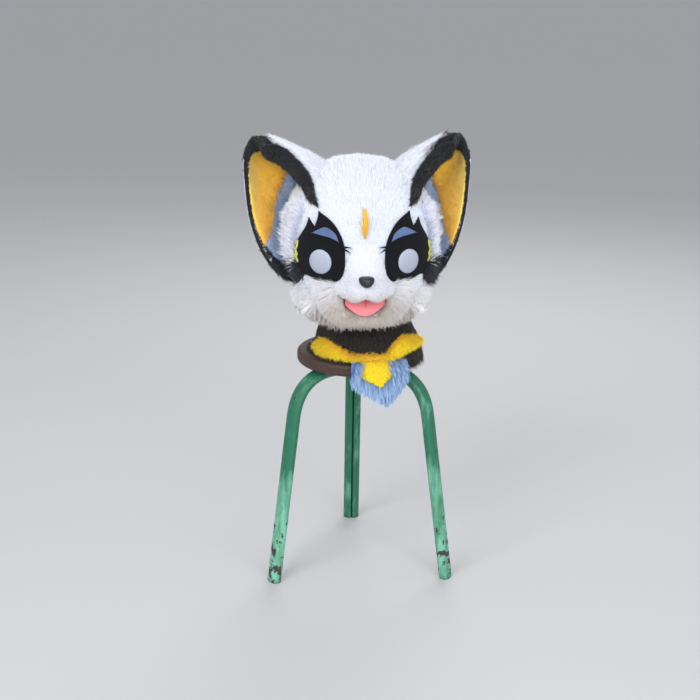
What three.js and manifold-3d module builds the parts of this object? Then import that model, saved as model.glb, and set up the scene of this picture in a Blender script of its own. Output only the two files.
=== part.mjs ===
// A furred cat costume head, hollow and open at the neck, standing on a three-legged steel stool.
// Millimetres, +Z up, the face looks along -Y, and the origin lies on the floor under the middle.
import * as THREE from "three";
import { mergeVertices } from "three/addons/utils/BufferGeometryUtils.js";
import Module from "manifold-3d";

const wasm = await Module();
wasm.setup();

// Driving dimensions
const GAP = 0.4; // clearance that neighbouring pieces keep
const MIDDLE_SHIFT = -4.3; // brings the middle of the whole box over the origin
const SEAT_TOP = 422;
const SEAT_RADIUS = 113;
const SEAT_THICKNESS = 22;
const SEAT_EDGE_ROUND = 7;
const NECK_HEIGHT = 70;
const HEAD_BASE = SEAT_TOP + NECK_HEIGHT; // lower rim of the padded head
const HEAD_WALL = 16; // foam and fur backing
const NECK_WALL = 9;
const FACE_SQUARENESS = 2.3; // superellipse exponent of the head's level sections
const HEAD_MESH = { sides: 26, rings: 11 };
const SUNK = -3; // pieces on the head start this deep and are cut back to their seat
const PLATE = 3; // felt and plastic pieces laid on the face
const MARK = 2; // thin felt marks
const PATCH_PILE = 5; // fur panels laid on the head

// Level sections of the padded head, from its lower rim to the crown
const HEAD_SECTIONS = [
  { z: 0, side: 98, front: 98, back: 104 },
  { z: 22, side: 110, front: 112, back: 116 },
  { z: 46, side: 119, front: 123, back: 125 },
  { z: 78, side: 127, front: 132, back: 133 },
  { z: 114, side: 133, front: 138, back: 138 },
  { z: 152, side: 134, front: 137, back: 139 },
  { z: 194, side: 127, front: 127, back: 131 },
  { z: 230, side: 109, front: 106, back: 112 },
  { z: 257, side: 83, front: 78, back: 85 },
  { z: 275, side: 49, front: 44, back: 49 },
  { z: 282, side: 0, front: 0, back: 0 },
];

// Level sections of the fur neck above the seat, from its flared hem to the head
const NECK_SECTIONS = [
  { z: GAP, side: 104, front: 108, back: 106 },
  { z: 14, side: 100, front: 104, back: 103 },
  { z: 32, side: 94, front: 98, back: 100 },
  { z: 52, side: 89, front: 94, back: 98 },
  { z: NECK_HEIGHT - GAP, side: 87, front: 92, back: 97 },
];
const NECK_SWAY = 7; // how far the hem lies towards +X of the head's middle
const NECK_FOLDS = { count: 7, depth: 2.5 };
const NECK_MESH = { sides: 27, levels: [0, 0.45, 1] };

// Ear sections from the head to the tip: front rim, top ridge, back and outer edge, each x, y, z
const EAR_SECTIONS = [
  { rim: [50, -80, 168], ridge: [38, -4, 255], back: [92, 60, 150], edge: [116, 2, 50] },
  { rim: [78, -78, 216], ridge: [76, -4, 284], back: [128, 54, 206], edge: [157, -16, 92] },
  { rim: [102, -54, 251], ridge: [110, 4, 300], back: [156, 44, 242], edge: [182, -22, 158] },
  { rim: [134, -32, 278], ridge: [142, 8, 312], back: [176, 32, 268], edge: [191, -20, 220] },
  { rim: [166, -16, 296], ridge: [170, 2, 312], back: [186, 12, 296], edge: [190, -14, 274] },
];
const EAR_WALL = { base: 13, tip: 5 };
const EAR_TIP_END = 0.99; // share of the ear's length at which its wall closes
// Fleece inside the ear: its share of the length, and the pile over the wall
const LINING = { from: 0.08, to: 0.93, pile: 4 };
const EAR_BAND = { from: 0.03, to: 0.7 };
// How far round the ear the lining and the band begin, less as the ear narrows
const LINING_BORDER = { base: 0.78, taper: 0.6, wave: 0.03, waves: 3.5 };
const BAND_BORDER = { base: 0.62, taper: 0.6 };

// The black ear rim goes up the front, round the tip and down the outer edge
const RIM_STOPS = { alongEdges: [0.1, 0.25, 0.45, 0.65, 0.85], roundTip: [0.15, 0.5, 0.85] };
const RIM_MESH = { steps: 17, sides: 6 };
const RIM_WIDTHS = [
  { across: 10, deep: 7 },
  { across: 15, deep: 8 },
  { across: 17, deep: 8 },
  { across: 16, deep: 8 },
  { across: 6, deep: 7 },
  { across: 4, deep: 6 },
  { across: 4, deep: 6 },
];

// Muzzle from the upper lip to the bridge of the nose
const MUZZLE_LOBES = { high: 4, reach: 30 };
const MUZZLE_SECTIONS = [
  { z: 60, side: 62, bulge: 33 },
  { z: 71, side: 56, bulge: 41 },
  { z: 84, side: 44, bulge: 44 },
  { z: 99, side: 36, bulge: 39 },
  { z: 115, side: 33, bulge: 24 },
  { z: 133, side: 25, bulge: 10 },
  { z: 150, side: 17, bulge: 2 },
];
// Rise of the upper lip's edge from the middle to the corner of the mouth
const LIP_RISE = [{ up: 6 }, { up: 0 }, { up: 3 }, { up: 10 }, { up: 17 }];
const JAW = { mouthHalf: 35, mouthTop: 63, mouthBottom: 34, outerHalf: 78, outerTop: 72, chin: 5, sweep: 98 };
const JAW_BULGES = [{ bulge: 22 }, { bulge: 26 }, { bulge: 19 }, { bulge: 9 }, { bulge: 1.5 }];
const MOUTH = { half: 39, low: 29, high: 68, deep: 11 };
const TONGUE = { half: 30, low: 35, high: 66, front: 24, crease: 2.5 };
const NOSE = { half: 16, low: 88, high: 107, level: 0.45 };
// Rings of the nose from its root to its face: share of the full outline, and how far they stand out
const NOSE_RINGS = [
  { scale: 0.9, stand: -16 },
  { scale: 1, stand: 2 },
  { scale: 0.92, stand: 6 },
  { scale: 0.62, stand: 9 },
];

// Outlines on the face, seen from the front, on the wearer's left side (+X)
const EYE_PANEL = [
  { x: 36, z: 132 },
  { x: 43, z: 161 },
  { x: 57, z: 188 },
  { x: 76, z: 206 },
  { x: 87, z: 185 },
  { x: 99, z: 194 },
  { x: 112, z: 165 },
  { x: 120, z: 130 },
  { x: 113, z: 97 },
  { x: 92, z: 87 },
  { x: 60, z: 79 },
  { x: 41, z: 90 },
];
const EYE_CENTRE = { x: 77, z: 132 };
const EYE_DISC = { x: 75, z: 119, halfWidth: 20, halfHeight: 22 };
const EYE_WINDOW = { x: 74, z: 122, halfWidth: 27, halfHeight: 34, inner: -45, depth: 120 };
const LID_MARK = [
  { x: 47, z: 156 },
  { x: 58, z: 170 },
  { x: 74, z: 175 },
  { x: 94, z: 167 },
  { x: 74, z: 162 },
  { x: 60, z: 158 },
];
const LID_CENTRE = { x: 69, z: 166 };
const EYE_EDGE = [
  { x: 113, z: 148 },
  { x: 117, z: 138 },
  { x: 117, z: 122 },
  { x: 113, z: 109 },
  { x: 112, z: 124 },
  { x: 113, z: 137 },
];
const EDGE_CENTRE = { x: 115, z: 128 };
const LASHES = [
  { x: 35, z: 142 },
  { x: 23, z: 146 },
  { x: 31, z: 139 },
  { x: 25, z: 132 },
  { x: 34, z: 136 },
];
const LASH_CENTRE = { x: 33.5, z: 139 };
const BLAZE = { halfWidth: 8, low: 160, high: 206, middle: 190, pile: 3 };

// Fur pads on the head: turns in degrees from the front, and the heights at both ends
const TEMPLE = { turn: 84, arc: 24, low: 68, high: 116, ragged: 6 };
const CHEEK_PAD = { turns: [41, 98], lows: [8, 24], highs: [66, 64], pile: 9 };
const CHIN_PAD = { turns: [-36, 36], lows: [2, 2], highs: [16, 16], pile: 7 };
const FLUFF_PAD = { turns: [50, 88], lows: [160, 92], highs: [212, 150], pile: 13 };
const PAD_EDGE = 2; // pile at a pad's border
// Rows of locks on the pads
const CHEEK_LOCKS = [
  { count: 4, root: 27, tip: 3, reach: 11 },
  { count: 2, root: 46, tip: 24, reach: 10 },
];
const CHEEK_ARC = [48, 92];
const CHIN_LOCKS = { count: 7, arc: [-31, 31], root: 7, drop: 15, ragged: 5 };
const FLUFF_LOCKS = { count: 4, roots: [182, 116], turns: [62, 82], aside: 21, back: 4, fan: [18, -16] };
const LOCK_ROOT = 12; // half-width of a lock at its root

const COLLAR_ROWS = [
  { middle: 18, half: 9 },
  { middle: 19, half: 9 },
  { middle: 24, half: 13 },
  { middle: 31, half: 17 },
  { middle: 33, half: 7 },
];
const COLLAR = { reach: 88, turn: 9, pile: 8, lowest: 1.5 };
const BIB_HEM = { tip: 357, left: 392, right: 398, tipAt: 0.2, teeth: 4.5, tooth: 9 };
const BIB = { top: 434, arc: 27, turn: 17, pile: 11, stand: 5.3 };
const SHIELD = { halfWidth: 19, top: 431, low: 386, pile: 4 };

const LEG = { footRadius: 185, kneeRadius: 141, kneeHeight: 311, benchRadius: 58, endRadius: 24 };
const LEG_SECTION = { halfWidth: 15.5, halfDepth: 11, seamHalf: 1.2, seamDepth: 4, sides: 12 };
const LEG_BEND = { start: 0.655, end: 0.925, steps: 6 }; // shares of the leg's length
const LEG_TURNS = { back: 0, left: -120, right: 120 };

// Finishes
const finish = (color, roughness, metalness = 0) =>
  new THREE.MeshStandardMaterial({ color, roughness, metalness });
const WHITE_FUR = finish(0xeceef4, 0.95);
const SHORT_PILE = finish(0xe6e4e6, 0.95);
const BLACK_FUR = finish(0x2c2d34, 0.9);
const YELLOW_FUR = finish(0xf4c022, 0.92);
const BLUE_FUR = finish(0x7f9dd4, 0.92);
const BLACK_FELT = finish(0x2b2d38, 0.85);
const BLUE_FELT = finish(0x6f87b8, 0.85);
const LIME_FELT = finish(0xc6cf5a, 0.85);
const SIGHT_MESH = finish(0xcdd2e2, 0.6);
const NOSE_VINYL = finish(0x3b3d43, 0.5);
const PINK_FLEECE = finish(0xf3858a, 0.8);
const MOUTH_FLEECE = finish(0xb9525b, 0.85);
const GREEN_PAINT = finish(0x3f9270, 0.45, 0.1);
const BROWN_BOARD = finish(0x4b3833, 0.7);

// Tables

// The row of a table at a share from 0 to 1 of its length, on a Catmull-Rom curve through the rows.
function rowAt(table, share) {
  const last = table.length - 1;
  const place = THREE.MathUtils.clamp(share, 0, 1) * last;
  const start = Math.min(Math.floor(place), last - 1);
  const t = place - start;
  const row = (i) => table[THREE.MathUtils.clamp(i, 0, last)];
  const through = (p0, p1, p2, p3) =>
    p1 + 0.5 * t * (p2 - p0 + t * (2 * p0 - 5 * p1 + 4 * p2 - p3 + t * (3 * (p1 - p2) + p3 - p0)));
  const made = {};
  for (const name of Object.keys(table[0])) {
    const [p0, p1, p2, p3] = [start - 1, start, start + 1, start + 2].map((i) => row(i)[name]);
    made[name] = Array.isArray(p1)
      ? p1.map((_, axis) => through(p0[axis], p1[axis], p2[axis], p3[axis]))
      : through(p0, p1, p2, p3);
  }
  return made;
}

// The share of a table at which its rising column z has the given height.
function shareAt(table, z) {
  let low = 0;
  let high = 1;
  for (let step = 0; step < 30; step++) {
    const middle = (low + high) / 2;
    if (rowAt(table, middle).z < z) low = middle;
    else high = middle;
  }
  return (low + high) / 2;
}

// Solids

// A closed solid from points and triangles, turned face out.
function solidOf(points, triangles) {
  const loose = new THREE.BufferGeometry().setFromPoints(points).setIndex(triangles);
  const merged = mergeVertices(loose, 1e-4);
  const whole = [];
  const found = merged.index.array;
  for (let i = 0; i < found.length; i += 3) {
    const [a, b, c] = found.slice(i, i + 3);
    if (a !== b && b !== c && c !== a) whole.push(a, b, c);
  }
  const vertProperties = merged.attributes.position.array;
  const made = new wasm.Manifold(
    new wasm.Mesh({ numProp: 3, vertProperties, triVerts: new Uint32Array(whole) }),
  );
  if (made.volume() > 0) return made;
  const turned = new Uint32Array(whole).reverse();
  return new wasm.Manifold(new wasm.Mesh({ numProp: 3, vertProperties, triVerts: turned }));
}

function solidOfGeometry(geometry) {
  const bare = geometry.clone();
  bare.deleteAttribute("normal");
  bare.deleteAttribute("uv");
  const merged = mergeVertices(bare, 1e-4);
  const points = [];
  for (let i = 0; i < merged.attributes.position.count; i++)
    points.push(new THREE.Vector3().fromBufferAttribute(merged.attributes.position, i));
  return solidOf(points, [...merged.index.array]);
}

// Rings joined one after another; an end ring is closed on its middle, or the last ring joins the first.
function loft(rings, wrap = false) {
  const count = Math.max(...rings.map((ring) => ring.length));
  const points = [];
  const triangles = [];
  const rows = [...rings];
  const middle = (ring) =>
    ring.reduce((sum, p) => sum.add(p), new THREE.Vector3()).multiplyScalar(1 / ring.length);
  if (!wrap) {
    if (rings[0].length > 1) rows.unshift([middle(rings[0])]);
    if (rings.at(-1).length > 1) rows.push([middle(rings.at(-1))]);
  }
  const starts = rows.map((ring) => points.push(...ring) - ring.length);
  const at = (row, i) => starts[row] + (i % rows[row].length);
  const pairs = wrap ? rows.length : rows.length - 1;
  for (let row = 0; row < pairs; row++) {
    const next = (row + 1) % rows.length;
    for (let i = 0; i < count; i++) {
      const corners = [at(row, i), at(row, i + 1), at(next, i + 1), at(next, i)];
      triangles.push(corners[0], corners[1], corners[2], corners[0], corners[2], corners[3]);
    }
  }
  return solidOf(points, triangles);
}

// A sheet between two faces, each a function of across, from -1 to 1, and along, from 0 to 1.
function sheet(columns, rows, front, back) {
  const points = [];
  const triangles = [];
  const width = columns + 1;
  for (const face of [front, back])
    for (let j = 0; j <= rows; j++)
      for (let i = 0; i <= columns; i++) points.push(face((2 * i) / columns - 1, j / rows));
  const half = width * (rows + 1);
  const quad = (a, b, c, d) => triangles.push(a, b, c, a, c, d);
  for (let j = 0; j < rows; j++)
    for (let i = 0; i < columns; i++) {
      const k = j * width + i;
      quad(k, k + 1, k + 1 + width, k + width);
      quad(half + k, half + k + width, half + k + 1 + width, half + k + 1);
    }
  const border = [];
  for (let i = 0; i < columns; i++) border.push(i);
  for (let j = 0; j < rows; j++) border.push(j * width + columns);
  for (let i = columns; i > 0; i--) border.push(rows * width + i);
  for (let j = rows; j > 0; j--) border.push(j * width);
  border.forEach((k, i) => {
    const next = border[(i + 1) % border.length];
    quad(k, half + k, half + next, next);
  });
  return solidOf(points, triangles);
}

// A flat piece laid on a surface: an outline seen whole from its centre, put there by place(x, z, height).
function plate(outline, centre, low, high, place, grow = 0) {
  const shares = [0.55, 1];
  const ring = (share, height) =>
    outline.map(({ x, z }) => {
      const reach = Math.hypot(x - centre.x, z - centre.z);
      const scale = (share * (reach + grow)) / reach;
      return place(centre.x + (x - centre.x) * scale, centre.z + (z - centre.z) * scale, height);
    });
  const pole = (height) => [place(centre.x, centre.z, height)];
  return loft([
    pole(high + grow),
    ...shares.map((share) => ring(share, high + grow)),
    ...shares.toReversed().map((share) => ring(share, low - grow)),
    pole(low - grow),
  ]);
}

function ellipseOutline({ x, z, halfWidth, halfHeight }, count) {
  return Array.from({ length: count }, (_, i) => {
    const turn = (2 * Math.PI * i) / count;
    return { x: x + halfWidth * Math.sin(turn), z: z + halfHeight * Math.cos(turn) };
  });
}

// A pointed lock of fur that bows on its way from root to tip.
function lock(root, tip, bow, width) {
  const sides = 4;
  const curve = new THREE.QuadraticBezierCurve3(root, root.clone().lerp(tip, 0.5).add(bow), tip);
  const rings = [0, 0.6].map((share) => {
    const along = curve.getTangentAt(share);
    const aside = new THREE.Vector3(along.y, -along.x, 0.01).normalize();
    const across = along.clone().cross(aside);
    const reach = width * Math.sqrt(1 - share);
    return Array.from({ length: sides }, (_, i) => {
      const turn = (2 * Math.PI * i) / sides;
      return curve
        .getPointAt(share)
        .addScaledVector(aside, reach * Math.cos(turn))
        .addScaledVector(across, reach * Math.sin(turn));
    });
  });
  return loft([...rings, [tip.clone()]]);
}

const joined = (solids) => solids.reduce((sum, solid) => sum.add(solid));
const cutBy = (solid, ...cutters) => cutters.reduce((left, cutter) => left.subtract(cutter), solid);

function meshOf(name, solid, material) {
  const { numProp, numVert, vertProperties, triVerts } = solid.getMesh();
  const position = new Float32Array(numVert * 3);
  for (let i = 0; i < numVert; i++)
    position.set(vertProperties.subarray(i * numProp, i * numProp + 3), i * 3);
  const geometry = new THREE.BufferGeometry();
  geometry.setAttribute("position", new THREE.BufferAttribute(position, 3));
  geometry.setIndex(new THREE.BufferAttribute(triVerts, 1));
  geometry.computeVertexNormals();
  const mesh = new THREE.Mesh(geometry, material);
  mesh.name = name;
  return mesh;
}

// The same piece on both sides of the head, the second one mirrored.
function bothSides(name, solid, material) {
  const left = meshOf(`${name}_left`, solid, material);
  const right = meshOf(`${name}_right`, solid, material);
  right.scale.x = -1;
  return [left, right];
}

// Surfaces of the head and neck

const rooted = (value) => Math.sign(value) * Math.abs(value) ** (2 / FACE_SQUARENESS);

// A point of a table of level sections, at a share of its rows and a turn from the front towards +X.
function sectionPoint(table, share, turn) {
  const row = rowAt(table, share);
  const depth = Math.cos(turn) > 0 ? row.front : row.back;
  return new THREE.Vector3(row.side * rooted(Math.sin(turn)), -depth * rooted(Math.cos(turn)), row.z);
}

// The same point raised off the surface along its normal.
function raisedPoint(table, share, turn, height) {
  const step = 1e-3;
  const top = Math.min(share, 1 - 2 * step);
  const point = sectionPoint(table, share, turn);
  const around = sectionPoint(table, top, turn + step).sub(sectionPoint(table, top, turn - step));
  const upward = sectionPoint(table, top + step, turn).sub(sectionPoint(table, top - step, turn));
  return point.addScaledVector(around.cross(upward).normalize(), height);
}

const headPoint = (share, turn, height = 0) => raisedPoint(HEAD_SECTIONS, share, turn, height);

// The neck's surface, its hem set aside from the head's middle.
function neckPoint(share, turn, height = 0) {
  const point = raisedPoint(NECK_SECTIONS, share, turn, height);
  point.x += NECK_SWAY * (1 - share) ** 2;
  return point;
}

// The y of the head's front at x and z.
function faceDepth(x, z) {
  const row = rowAt(HEAD_SECTIONS, shareAt(HEAD_SECTIONS, z));
  const aside = Math.min(Math.abs(x / row.side), 0.999);
  return -row.front * (1 - aside ** FACE_SQUARENESS) ** (1 / FACE_SQUARENESS);
}

// A point raised off the head's front at x and z.
function facePoint(x, z, height = 0) {
  const step = 0.5;
  const slopeX = (faceDepth(x + step, z) - faceDepth(x - step, z)) / (2 * step);
  const slopeZ = (faceDepth(x, z + step) - faceDepth(x, z - step)) / (2 * step);
  const normal = new THREE.Vector3(slopeX, -1, slopeZ).normalize();
  return new THREE.Vector3(x, faceDepth(x, z), z).addScaledVector(normal, height);
}

// Rings of the head raised by a height, the lowest kept level.
function headRings(height) {
  const { sides, rings } = HEAD_MESH;
  return Array.from({ length: rings }, (_, j) =>
    Array.from({ length: sides }, (_, i) => {
      const point = headPoint(j / rings, (2 * Math.PI * i) / sides, height);
      if (j === 0) point.z = 0;
      return point;
    }),
  );
}

const crown = (height) => [new THREE.Vector3(0, 0, HEAD_SECTIONS.at(-1).z + height)];
// The head filled in, used to seat what is fixed to it.
const headBlock = (grow) => loft([...headRings(grow), crown(grow)]);
const headSeat = headBlock(GAP);

// The largest body of a cut solid, without the crumbs that a cut can leave.
function largest(solid) {
  return solid.decompose().reduce((best, body) => (body.volume() > best.volume() ? body : best));
}

const seated = (solid, ...cutters) => largest(cutBy(solid, headSeat, ...cutters));

// Pieces of the head

function headShell() {
  const wall = loft([
    crown(0),
    ...headRings(0).toReversed(),
    ...headRings(-HEAD_WALL),
    crown(-HEAD_WALL),
  ]);
  const { x, z, halfWidth, halfHeight, inner, depth } = EYE_WINDOW;
  const shape = new THREE.Shape().absellipse(0, 0, halfWidth, halfHeight, 0, 2 * Math.PI);
  const geometry = new THREE.ExtrudeGeometry(shape, { depth, bevelEnabled: false, curveSegments: 10 });
  geometry.rotateX(Math.PI / 2);
  const windows = [x, -x].map((aside) => solidOfGeometry(geometry.clone().translate(aside, inner, z)));
  return cutBy(wall, ...windows);
}

const lipRise = (x) => rowAt(LIP_RISE, Math.abs(x) / MUZZLE_SECTIONS[0].side).up;

// The muzzle's front: two soft lobes beside a shallow groove, fading into the face.
function muzzlePoint(across, along, grow) {
  const row = rowAt(MUZZLE_SECTIONS, along);
  const x = across * (row.side + grow);
  const z = row.z + lipRise(x) * (1 - along) ** 2 - grow * (1 - 2 * along);
  const fade = Math.cos((Math.PI / 2) * across);
  const lobeShare = Math.min(Math.abs(x) / MUZZLE_LOBES.reach, 1);
  const lobes = MUZZLE_LOBES.high * (1 - along) ** 2 * Math.sin(Math.PI * lobeShare);
  return facePoint(x, z, GAP + 1 + row.bulge * fade + lobes + grow);
}

function muzzleBlock(grow = 0) {
  const back = (across, along) => {
    const front = muzzlePoint(across, along, grow);
    return facePoint(front.x, front.z, SUNK);
  };
  return sheet(12, 6, (across, along) => muzzlePoint(across, along, grow), back);
}

// The lower jaw: a crescent round the tongue, from its lip to the chin.
function jawBlock(grow = 0) {
  const place = (across, along) => {
    const turn = THREE.MathUtils.degToRad(JAW.sweep) * across;
    const half = THREE.MathUtils.lerp(JAW.mouthHalf - grow, JAW.outerHalf + grow, along);
    const top = THREE.MathUtils.lerp(JAW.mouthTop, JAW.outerTop, along);
    const mouthFall = JAW.mouthTop - JAW.mouthBottom - grow;
    const chinFall = JAW.outerTop - JAW.chin + grow;
    const fall = THREE.MathUtils.lerp(mouthFall, chinFall, along);
    return { x: half * Math.sin(turn), z: top - fall * Math.cos(turn) };
  };
  const front = (across, along) => {
    const { x, z } = place(across, along);
    const thin = 1 - 0.75 * across ** 4;
    return facePoint(x, z, GAP + 1 + rowAt(JAW_BULGES, along).bulge * thin + grow);
  };
  const back = (across, along) => {
    const { x, z } = place(across, along);
    return facePoint(x, z, SUNK);
  };
  return sheet(10, 4, front, back);
}

const MOUTH_CENTRE = { x: 0, z: (MOUTH.low + MOUTH.high) / 2 };

function mouthBlock(grow = 0) {
  const halfHeight = (MOUTH.high - MOUTH.low) / 2;
  const outline = ellipseOutline({ ...MOUTH_CENTRE, halfWidth: MOUTH.half, halfHeight }, 16);
  return plate(outline, MOUTH_CENTRE, SUNK, MOUTH.deep, facePoint, grow);
}

// The tongue lies on the mouth's floor, creased down the middle.
function tongueBlock() {
  const width = (along) => TONGUE.half * Math.sqrt(Math.min(1, 1.15 - (1 - along) ** 2));
  const place = (across, along) => ({
    x: across * width(along),
    z: THREE.MathUtils.lerp(TONGUE.low + 6 * across ** 2, TONGUE.high, along),
  });
  const front = (across, along) => {
    const { x, z } = place(across, along);
    const crease = TONGUE.crease * Math.exp(-((x / 3) ** 2)) * along;
    return facePoint(x, z, TONGUE.front - 5 * across ** 4 - 7 * along ** 2 - crease);
  };
  const back = (across, along) => {
    const { x, z } = place(across, along);
    return facePoint(x, z, MOUTH.deep - 2);
  };
  return seated(sheet(8, 4, front, back), muzzleBlock(GAP), jawBlock(GAP), mouthBlock(GAP));
}

// A rounded triangle with a soft face, set into the end of the muzzle.
function noseBlock() {
  const height = NOSE.high - NOSE.low;
  const ring = (scale, stand) =>
    ellipseOutline({ x: 0, z: 0, halfWidth: scale, halfHeight: scale }, 14).map((unit) => {
      const narrow = 0.8 + 0.28 * (unit.z / scale);
      const x = NOSE.half * unit.x * narrow;
      const z = NOSE.low + height * (0.55 + 0.5 * unit.z);
      const base = muzzlePoint(x / rowAt(MUZZLE_SECTIONS, NOSE.level).side, NOSE.level, 0);
      return new THREE.Vector3(x, base.y - stand, z);
    });
  const solid = loft(NOSE_RINGS.map(({ scale, stand }) => ring(scale, stand)));
  return seated(solid, muzzleBlock(GAP));
}

const PANEL_TOP = GAP + PLATE;

function eyePanel() {
  const whole = plate(EYE_PANEL, EYE_CENTRE, SUNK, PANEL_TOP, facePoint);
  const hole = plate(ellipseOutline(EYE_DISC, 14), EYE_DISC, SUNK - 2, PANEL_TOP + 2, facePoint, GAP);
  return seated(whole, hole, muzzleBlock(GAP));
}

const panelBlock = plate(EYE_PANEL, EYE_CENTRE, SUNK, PANEL_TOP, facePoint, GAP);
const eyeDisc = () => seated(plate(ellipseOutline(EYE_DISC, 14), EYE_DISC, SUNK, PANEL_TOP, facePoint));
const onPanel = (outline, centre) =>
  seated(plate(outline, centre, GAP, PANEL_TOP + MARK, facePoint), panelBlock);
const lidMark = () => onPanel(LID_MARK, LID_CENTRE);
const eyeEdge = () => onPanel(EYE_EDGE, EDGE_CENTRE);
const lashBlock = plate(LASHES, LASH_CENTRE, SUNK, GAP + MARK, facePoint);
const lashes = () => seated(lashBlock, panelBlock, muzzleBlock(GAP));

// The forehead's mark: a drop with its point down.
function blaze() {
  const circle = ellipseOutline({ x: 0, z: 0, halfWidth: 1, halfHeight: 1 }, 14);
  const outline = circle.map((unit) => {
    const share = (1 - unit.z) / 2;
    const x = BLAZE.halfWidth * unit.x * Math.sqrt(1 - 0.8 * share);
    return { x, z: THREE.MathUtils.lerp(BLAZE.high, BLAZE.low, share) };
  });
  return seated(plate(outline, { x: 0, z: BLAZE.middle }, SUNK, BLAZE.pile, facePoint));
}

// Black fur between the eye panel and the ear, laid on the side of the head.
function templePatch(grow = 0) {
  const face = (height) => (across, along) => {
    const turn = THREE.MathUtils.degToRad(TEMPLE.turn + TEMPLE.arc * across);
    const ragged = TEMPLE.ragged * Math.sin(across * 7) * (along - 0.5);
    const z = THREE.MathUtils.lerp(TEMPLE.low - grow, TEMPLE.high + grow, along) + ragged;
    return headPoint(shareAt(HEAD_SECTIONS, z), turn, height);
  };
  return cutBy(sheet(6, 2, face(PATCH_PILE + grow), face(SUNK)), panelBlock);
}

// Locks fused to a fur backing, in a row from a share of 0 to a share of 1.
function lockRow(count, root, tip, bow, width, backing) {
  const locks = Array.from({ length: count }, (_, i) => {
    const share = i / (count - 1);
    return lock(root(share), tip(share), bow, width);
  });
  return joined([backing, ...locks]);
}

// A fur pad on the head, thickest in its middle, over turns in degrees and the heights at its two ends.
function headPad({ turns, lows, highs, pile }, columns, rows) {
  const face = (height) => (across, along) => {
    const share = (across + 1) / 2;
    const turn = THREE.MathUtils.degToRad(THREE.MathUtils.lerp(...turns, share));
    const low = THREE.MathUtils.lerp(...lows, share);
    const z = THREE.MathUtils.lerp(low, THREE.MathUtils.lerp(...highs, share), along);
    return headPoint(shareAt(HEAD_SECTIONS, z), turn, height(across, along));
  };
  const front = (across, along) =>
    PAD_EDGE + pile * Math.sqrt((1 - across ** 2) * Math.sin(Math.PI * along));
  return sheet(columns, rows, face(front), face(() => SUNK));
}

// A point of the head at a height z and a share of an arc in degrees.
function arcPoint(arc, share, z, height) {
  const turn = THREE.MathUtils.degToRad(THREE.MathUtils.lerp(...arc, share));
  return headPoint(shareAt(HEAD_SECTIONS, z), turn, height);
}

// Cheek fur: a pad with two rows of locks that droop.
function cheekTuft() {
  const bow = new THREE.Vector3(4, -3, 2);
  const whole = CHEEK_LOCKS.reduce((backing, row) => {
    const root = (share) => arcPoint(CHEEK_ARC, share, row.root, 3);
    const tip = (share) => {
      const droop = row.tip + 26 * (share - 0.3) ** 2;
      return arcPoint(CHEEK_ARC, share, row.tip + 8, row.reach).setZ(droop);
    };
    return lockRow(row.count, root, tip, bow, LOCK_ROOT, backing);
  }, headPad(CHEEK_PAD, 4, 2));
  return seated(whole, jawBlock(GAP), muzzleBlock(GAP));
}

// White ruff under the chin, its points over the neck.
function chinRuff() {
  const { count, arc, root, drop, ragged } = CHIN_LOCKS;
  const rootAt = (share) => arcPoint(arc, share, root, 3);
  const tipAt = (share) => arcPoint(arc, share, root, 5).setZ(-drop - ragged * Math.cos(share * 20));
  const bow = new THREE.Vector3(0, -5, 0);
  const whole = lockRow(count, rootAt, tipAt, bow, LOCK_ROOT - 2, headPad(CHIN_PAD, 4, 2));
  return seated(whole, jawBlock(GAP), neckBlock(GAP).translate([0, 0, -NECK_HEIGHT]));
}

// Ears

// A point of the ear's outside: along from head to tip, round from the front rim over the ridge to the edge.
function earPoint(along, round) {
  const { rim, ridge, back, edge } = rowAt(EAR_SECTIONS, along);
  const [x, y, z] = [0, 1, 2].map(
    (axis) =>
      rowAt([{ at: rim[axis] }, { at: ridge[axis] }, { at: back[axis] }, { at: edge[axis] }], round).at,
  );
  return new THREE.Vector3(x, y, z);
}

// The same point sunk towards the ear's hollow.
function sunkEarPoint(along, round, depth) {
  const step = 0.01;
  const [a, r] = [along, round].map((share) => THREE.MathUtils.clamp(share, step, 1 - step));
  const upward = earPoint(a + step, r).sub(earPoint(a - step, r));
  const sideways = earPoint(a, r + step).sub(earPoint(a, r - step));
  return earPoint(along, round).addScaledVector(sideways.cross(upward).normalize(), depth);
}

const earWall = (along) => THREE.MathUtils.lerp(EAR_WALL.base, EAR_WALL.tip, along);

// A layer of the ear between two depths, over a band of the way round that may change along the ear.
// Spread pushes the layer's two long borders outwards.
function earLayer(columns, rows, alongRange, roundRange, depths, spread = 0) {
  const face = (depth) => (across, share) => {
    const along = THREE.MathUtils.lerp(...alongRange, share);
    const [from, to] = roundRange(along);
    const round = THREE.MathUtils.lerp(from, to, (across + 1) / 2);
    const aside = earPoint(along, round + 0.02).sub(earPoint(along, round - 0.02)).normalize();
    const push = Math.abs(across) === 1 ? spread * across : 0;
    return sunkEarPoint(along, round, depth(along)).addScaledVector(aside, push);
  };
  return sheet(columns, rows, face(depths[0]), face(depths[1]));
}

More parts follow.
